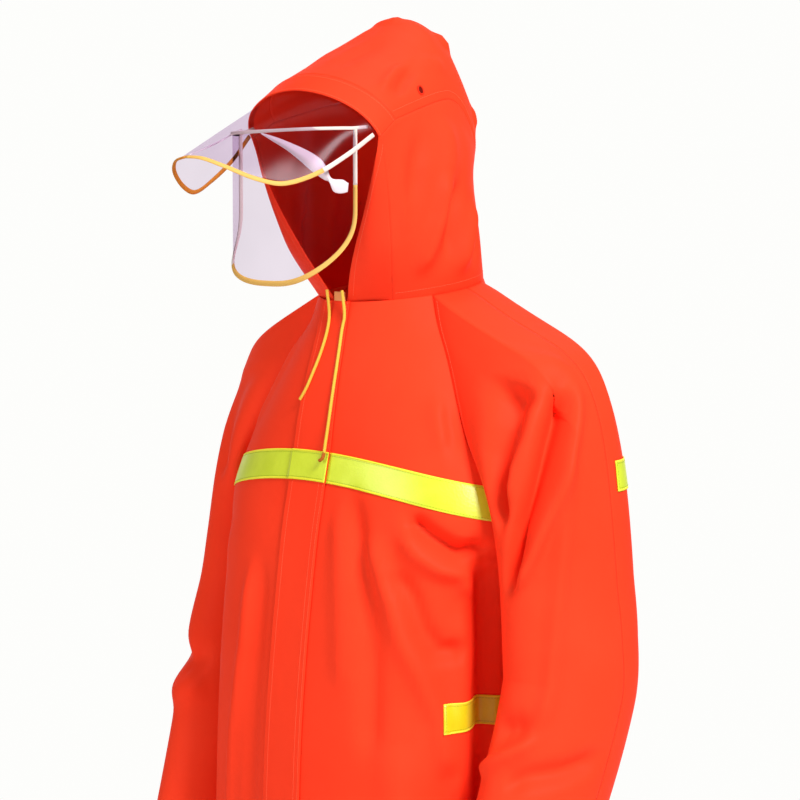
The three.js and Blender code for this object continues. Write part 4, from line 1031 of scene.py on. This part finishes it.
def ribbon_grid():
    share = np.linspace(0, 1, 90)
    edges = []
    for places in (RIBBON_HIGH, RIBBON_LOW):
        line = curve([(u, v, 0) for u, v in places])(share)
        edges.append(shield_points(line[:, 0], line[:, 1]))
    across = np.linspace(0, 1, 9)[None, :, None]
    grid = edges[0][:, None] * (1 - across) + edges[1][:, None] * across
    out = unit(np.stack([grid[..., 0] * 0.4, np.full(grid.shape[:2], -90.0), np.zeros(grid.shape[:2])], -1))
    swell = 1.6 + 3.5 * np.sin(math.pi * across[..., 0]) * np.sin(math.pi * share)[:, None] ** 0.5
    return grid + out * swell[..., None]


# The fold's swell is shape; its milky white is a painted reflection
shell("shield_fold_glare", ribbon_grid(), 1, "painted_glare_sheet", wall=0.4)
peak_surface = peak_grid()
crease_places = [(59, 49), (76, 36), (84, 28), (97, 20), (106, 14)]
crease = curve([peak_surface[a, b] for a, b in crease_places])(np.linspace(0, 1, 60)) + np.array([0, 0, 0.4])
rod("peak_crease_glare", crease, np.tile([0.3, -1.0, 0], (60, 1)), 1.8, 0.7, "painted_glare_sheet")


# Cords: level, distance from the centre and height of the middle above the plain cloth
CORD_EXIT = np.array([12.5, -101.5, -1])
CORD_RIGHT = [
    (-18, -9.5, 5.8), (-40, -9.5, 5.2), (-66, -13, 5), (-90, -18.5, 5), (-104, -23, 5), (-112, -27, 4.9),
    (-119, -31.5, 4.8),
]
CORD_LEFT = [
    (-18, 14, 5.8), (-34, 13, 5), (-60, 15.5, 5), (-95, 19.5, 5), (-120, 21.5, 5), (-146, 23, 5.1),
    (-160, 24, 6.4), (-176, 25, 7.4),
]


def over_front(level, x, lift):
    """A place over the front, at a run from the centre and a height above the plain cloth."""
    side = 1 if x > 0 else -1
    at = lambda z, run: torso(z, side, "front", np.array([abs(run)]))[0]
    n = unit(np.cross(at(level, abs(x) + 1) - at(level, abs(x) - 1), at(level - 2, x) - at(level + 2, x)))
    return at(level, x) + n * (-lift if n[1] > 0 else lift)


def cord_piece(name, rows, side, node):
    points = [CORD_EXIT * [side, 1, 1], *[over_front(*row) for row in rows]]
    line = curve(points)(np.linspace(0, 1, 30))
    data = bpy.data.curves.new(name, "CURVE")
    data.dimensions = "3D"
    data.bevel_depth = CORD / 2 * MM
    data.bevel_resolution = 4
    spline = data.splines.new("POLY")
    spline.points.add(len(line) - 1)
    for point, place in zip(spline.points, line * MM):
        point.co = (*place, 1)
    data.materials.append(MATERIALS["cord"])
    data.use_fill_caps = True
    piece = bpy.data.objects.new(name, data)
    bpy.context.scene.collection.objects.link(piece)
    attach(piece, "root")
    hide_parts(node)


cord_piece("drawcord_left_line", CORD_LEFT, 1, "drawcord_left")
cord_piece("drawcord_right_line", CORD_RIGHT, -1, "drawcord_right")

def eyelet(side):
    turn = EYELET["turn"] if side > 0 else math.pi - EYELET["turn"]
    i = int(np.argmin(np.abs(STATIONS - EYELET["station"])))
    j = int(np.argmin(np.abs(ARCH - turn)))
    middle, outward = crown[i, j], -normals(crown)[i, j]
    up = unit(np.array([0, 0, 1.0]) - outward * outward[2])
    along = np.cross(up, outward)
    angle = np.linspace(0, 2 * math.pi, 33)[:, None]
    circle = up * np.cos(angle) * EYELET["high"] + along * np.sin(angle) * EYELET["wide"]
    line = middle + circle + outward * 0.5
    node = f"eyelet_{LABEL[side]}"
    rod(f"eyelet_ring_{LABEL[side]}", line, unit(circle), 2.0, 1.2, "eyelet", node)
    # A dark closed disc in the eyelet: painted shade standing in for the opening
    rim = middle + circle[:-1] * 0.85 + outward * 0.35
    points = np.concatenate([rim, rim - outward * 0.6])
    count = len(rim)
    faces = [list(range(count)), list(range(2 * count - 1, count - 1, -1))]
    faces += [[k, count + k, count + (k + 1) % count, (k + 1) % count] for k in range(count)]
    mesh_piece(f"eyelet_hole_{LABEL[side]}", points, faces, "hole", smooth_faces=False)


eyelet(1)
eyelet(-1)
for node in ("drawcord_tip", "throat_tab"):
    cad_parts[node].data.materials.clear()
    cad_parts[node].data.materials.append(MATERIALS["tip" if "tip" in node else "tab"])


# Light, floor and camera
def area_light(name, place, target, power, size):
    data = bpy.data.lights.new(name, "AREA")
    data.energy = power
    data.shape = "RECTANGLE"
    data.size, data.size_y = size
    light = bpy.data.objects.new(name, data)
    light.location = place
    light.rotation_euler = (Vector(target) - Vector(place)).to_track_quat("-Z", "Y").to_euler()
    bpy.context.scene.collection.objects.link(light)


area_light("key", (3.3, -0.7, 2.5), (0, 0, -0.2), 245, (1.3, 1.3))
area_light("front", (-0.8, -3.7, 1.3), (0, 0, -0.1), 62, (2.0, 2.0))
area_light("top", (-0.4, 0.8, 3.0), (0, 0, 0), 30, (2.0, 2.0))

world = bpy.data.worlds.new("studio")
world.use_nodes = True
world.node_tree.nodes["Background"].inputs["Color"].default_value = (1, 1, 1, 1)
world.node_tree.nodes["Background"].inputs["Strength"].default_value = 0.18
bpy.context.scene.world = world
bpy.context.scene.view_settings.view_transform = "Standard"

azimuth, height = math.radians(VIEW["azimuth"]), math.radians(VIEW["height"])
away = Vector((math.cos(height) * math.sin(azimuth), -math.cos(height) * math.cos(azimuth), math.sin(height)))


def stage_plane(name, corners, colour, glow):
    mesh = bpy.data.meshes.new(name)
    mesh.from_pydata(corners, [], [(0, 1, 2, 3)])
    plane = bpy.data.objects.new(name, mesh)
    bpy.context.scene.collection.objects.link(plane)
    material = bpy.data.materials.new(name)
    _, shader = nodes_of(material)
    shader.inputs["Base Color"].default_value = (*colour, 1)
    shader.inputs["Roughness"].default_value = 1.0
    shader.inputs["Specular IOR Level"].default_value = 0.0
    shader.inputs["Emission Color"].default_value = (0.985, 0.985, 0.968, 1)
    shader.inputs["Emission Strength"].default_value = glow
    mesh.materials.append(material)


FLOOR = -1.45
REACH = 7
BACKDROP = {"behind": 2.6, "half": 1.6, "top": 1.9}
corners = [(-REACH, -REACH), (REACH, -REACH), (REACH, REACH), (-REACH, REACH)]
stage_plane("floor", [(x, y, FLOOR) for x, y in corners], (0.95, 0.95, 0.94), 0)
back_way = Vector((-away.x, -away.y, 0)).normalized()
side_way = Vector((-back_way.y, back_way.x, 0)) * BACKDROP["half"]
middle = back_way * BACKDROP["behind"]
low, high = Vector((0, 0, FLOOR + 0.01)), Vector((0, 0, BACKDROP["top"]))
board = [middle - side_way + low, middle + side_way + low, middle + side_way + high, middle - side_way + high]
stage_plane("backdrop", board, (0, 0, 0), 1.0)

camera_data = bpy.data.cameras.new("camera")
camera_data.sensor_width = 36
camera_data.lens = 36 * VIEW["distance"] / VIEW["width"]
camera = bpy.data.objects.new("camera", camera_data)
camera.location = Vector(VIEW["target"]) + away * VIEW["distance"]
camera.rotation_euler = away.to_track_quat("Z", "Y").to_euler()
bpy.context.scene.collection.objects.link(camera)
bpy.context.scene.camera = camera
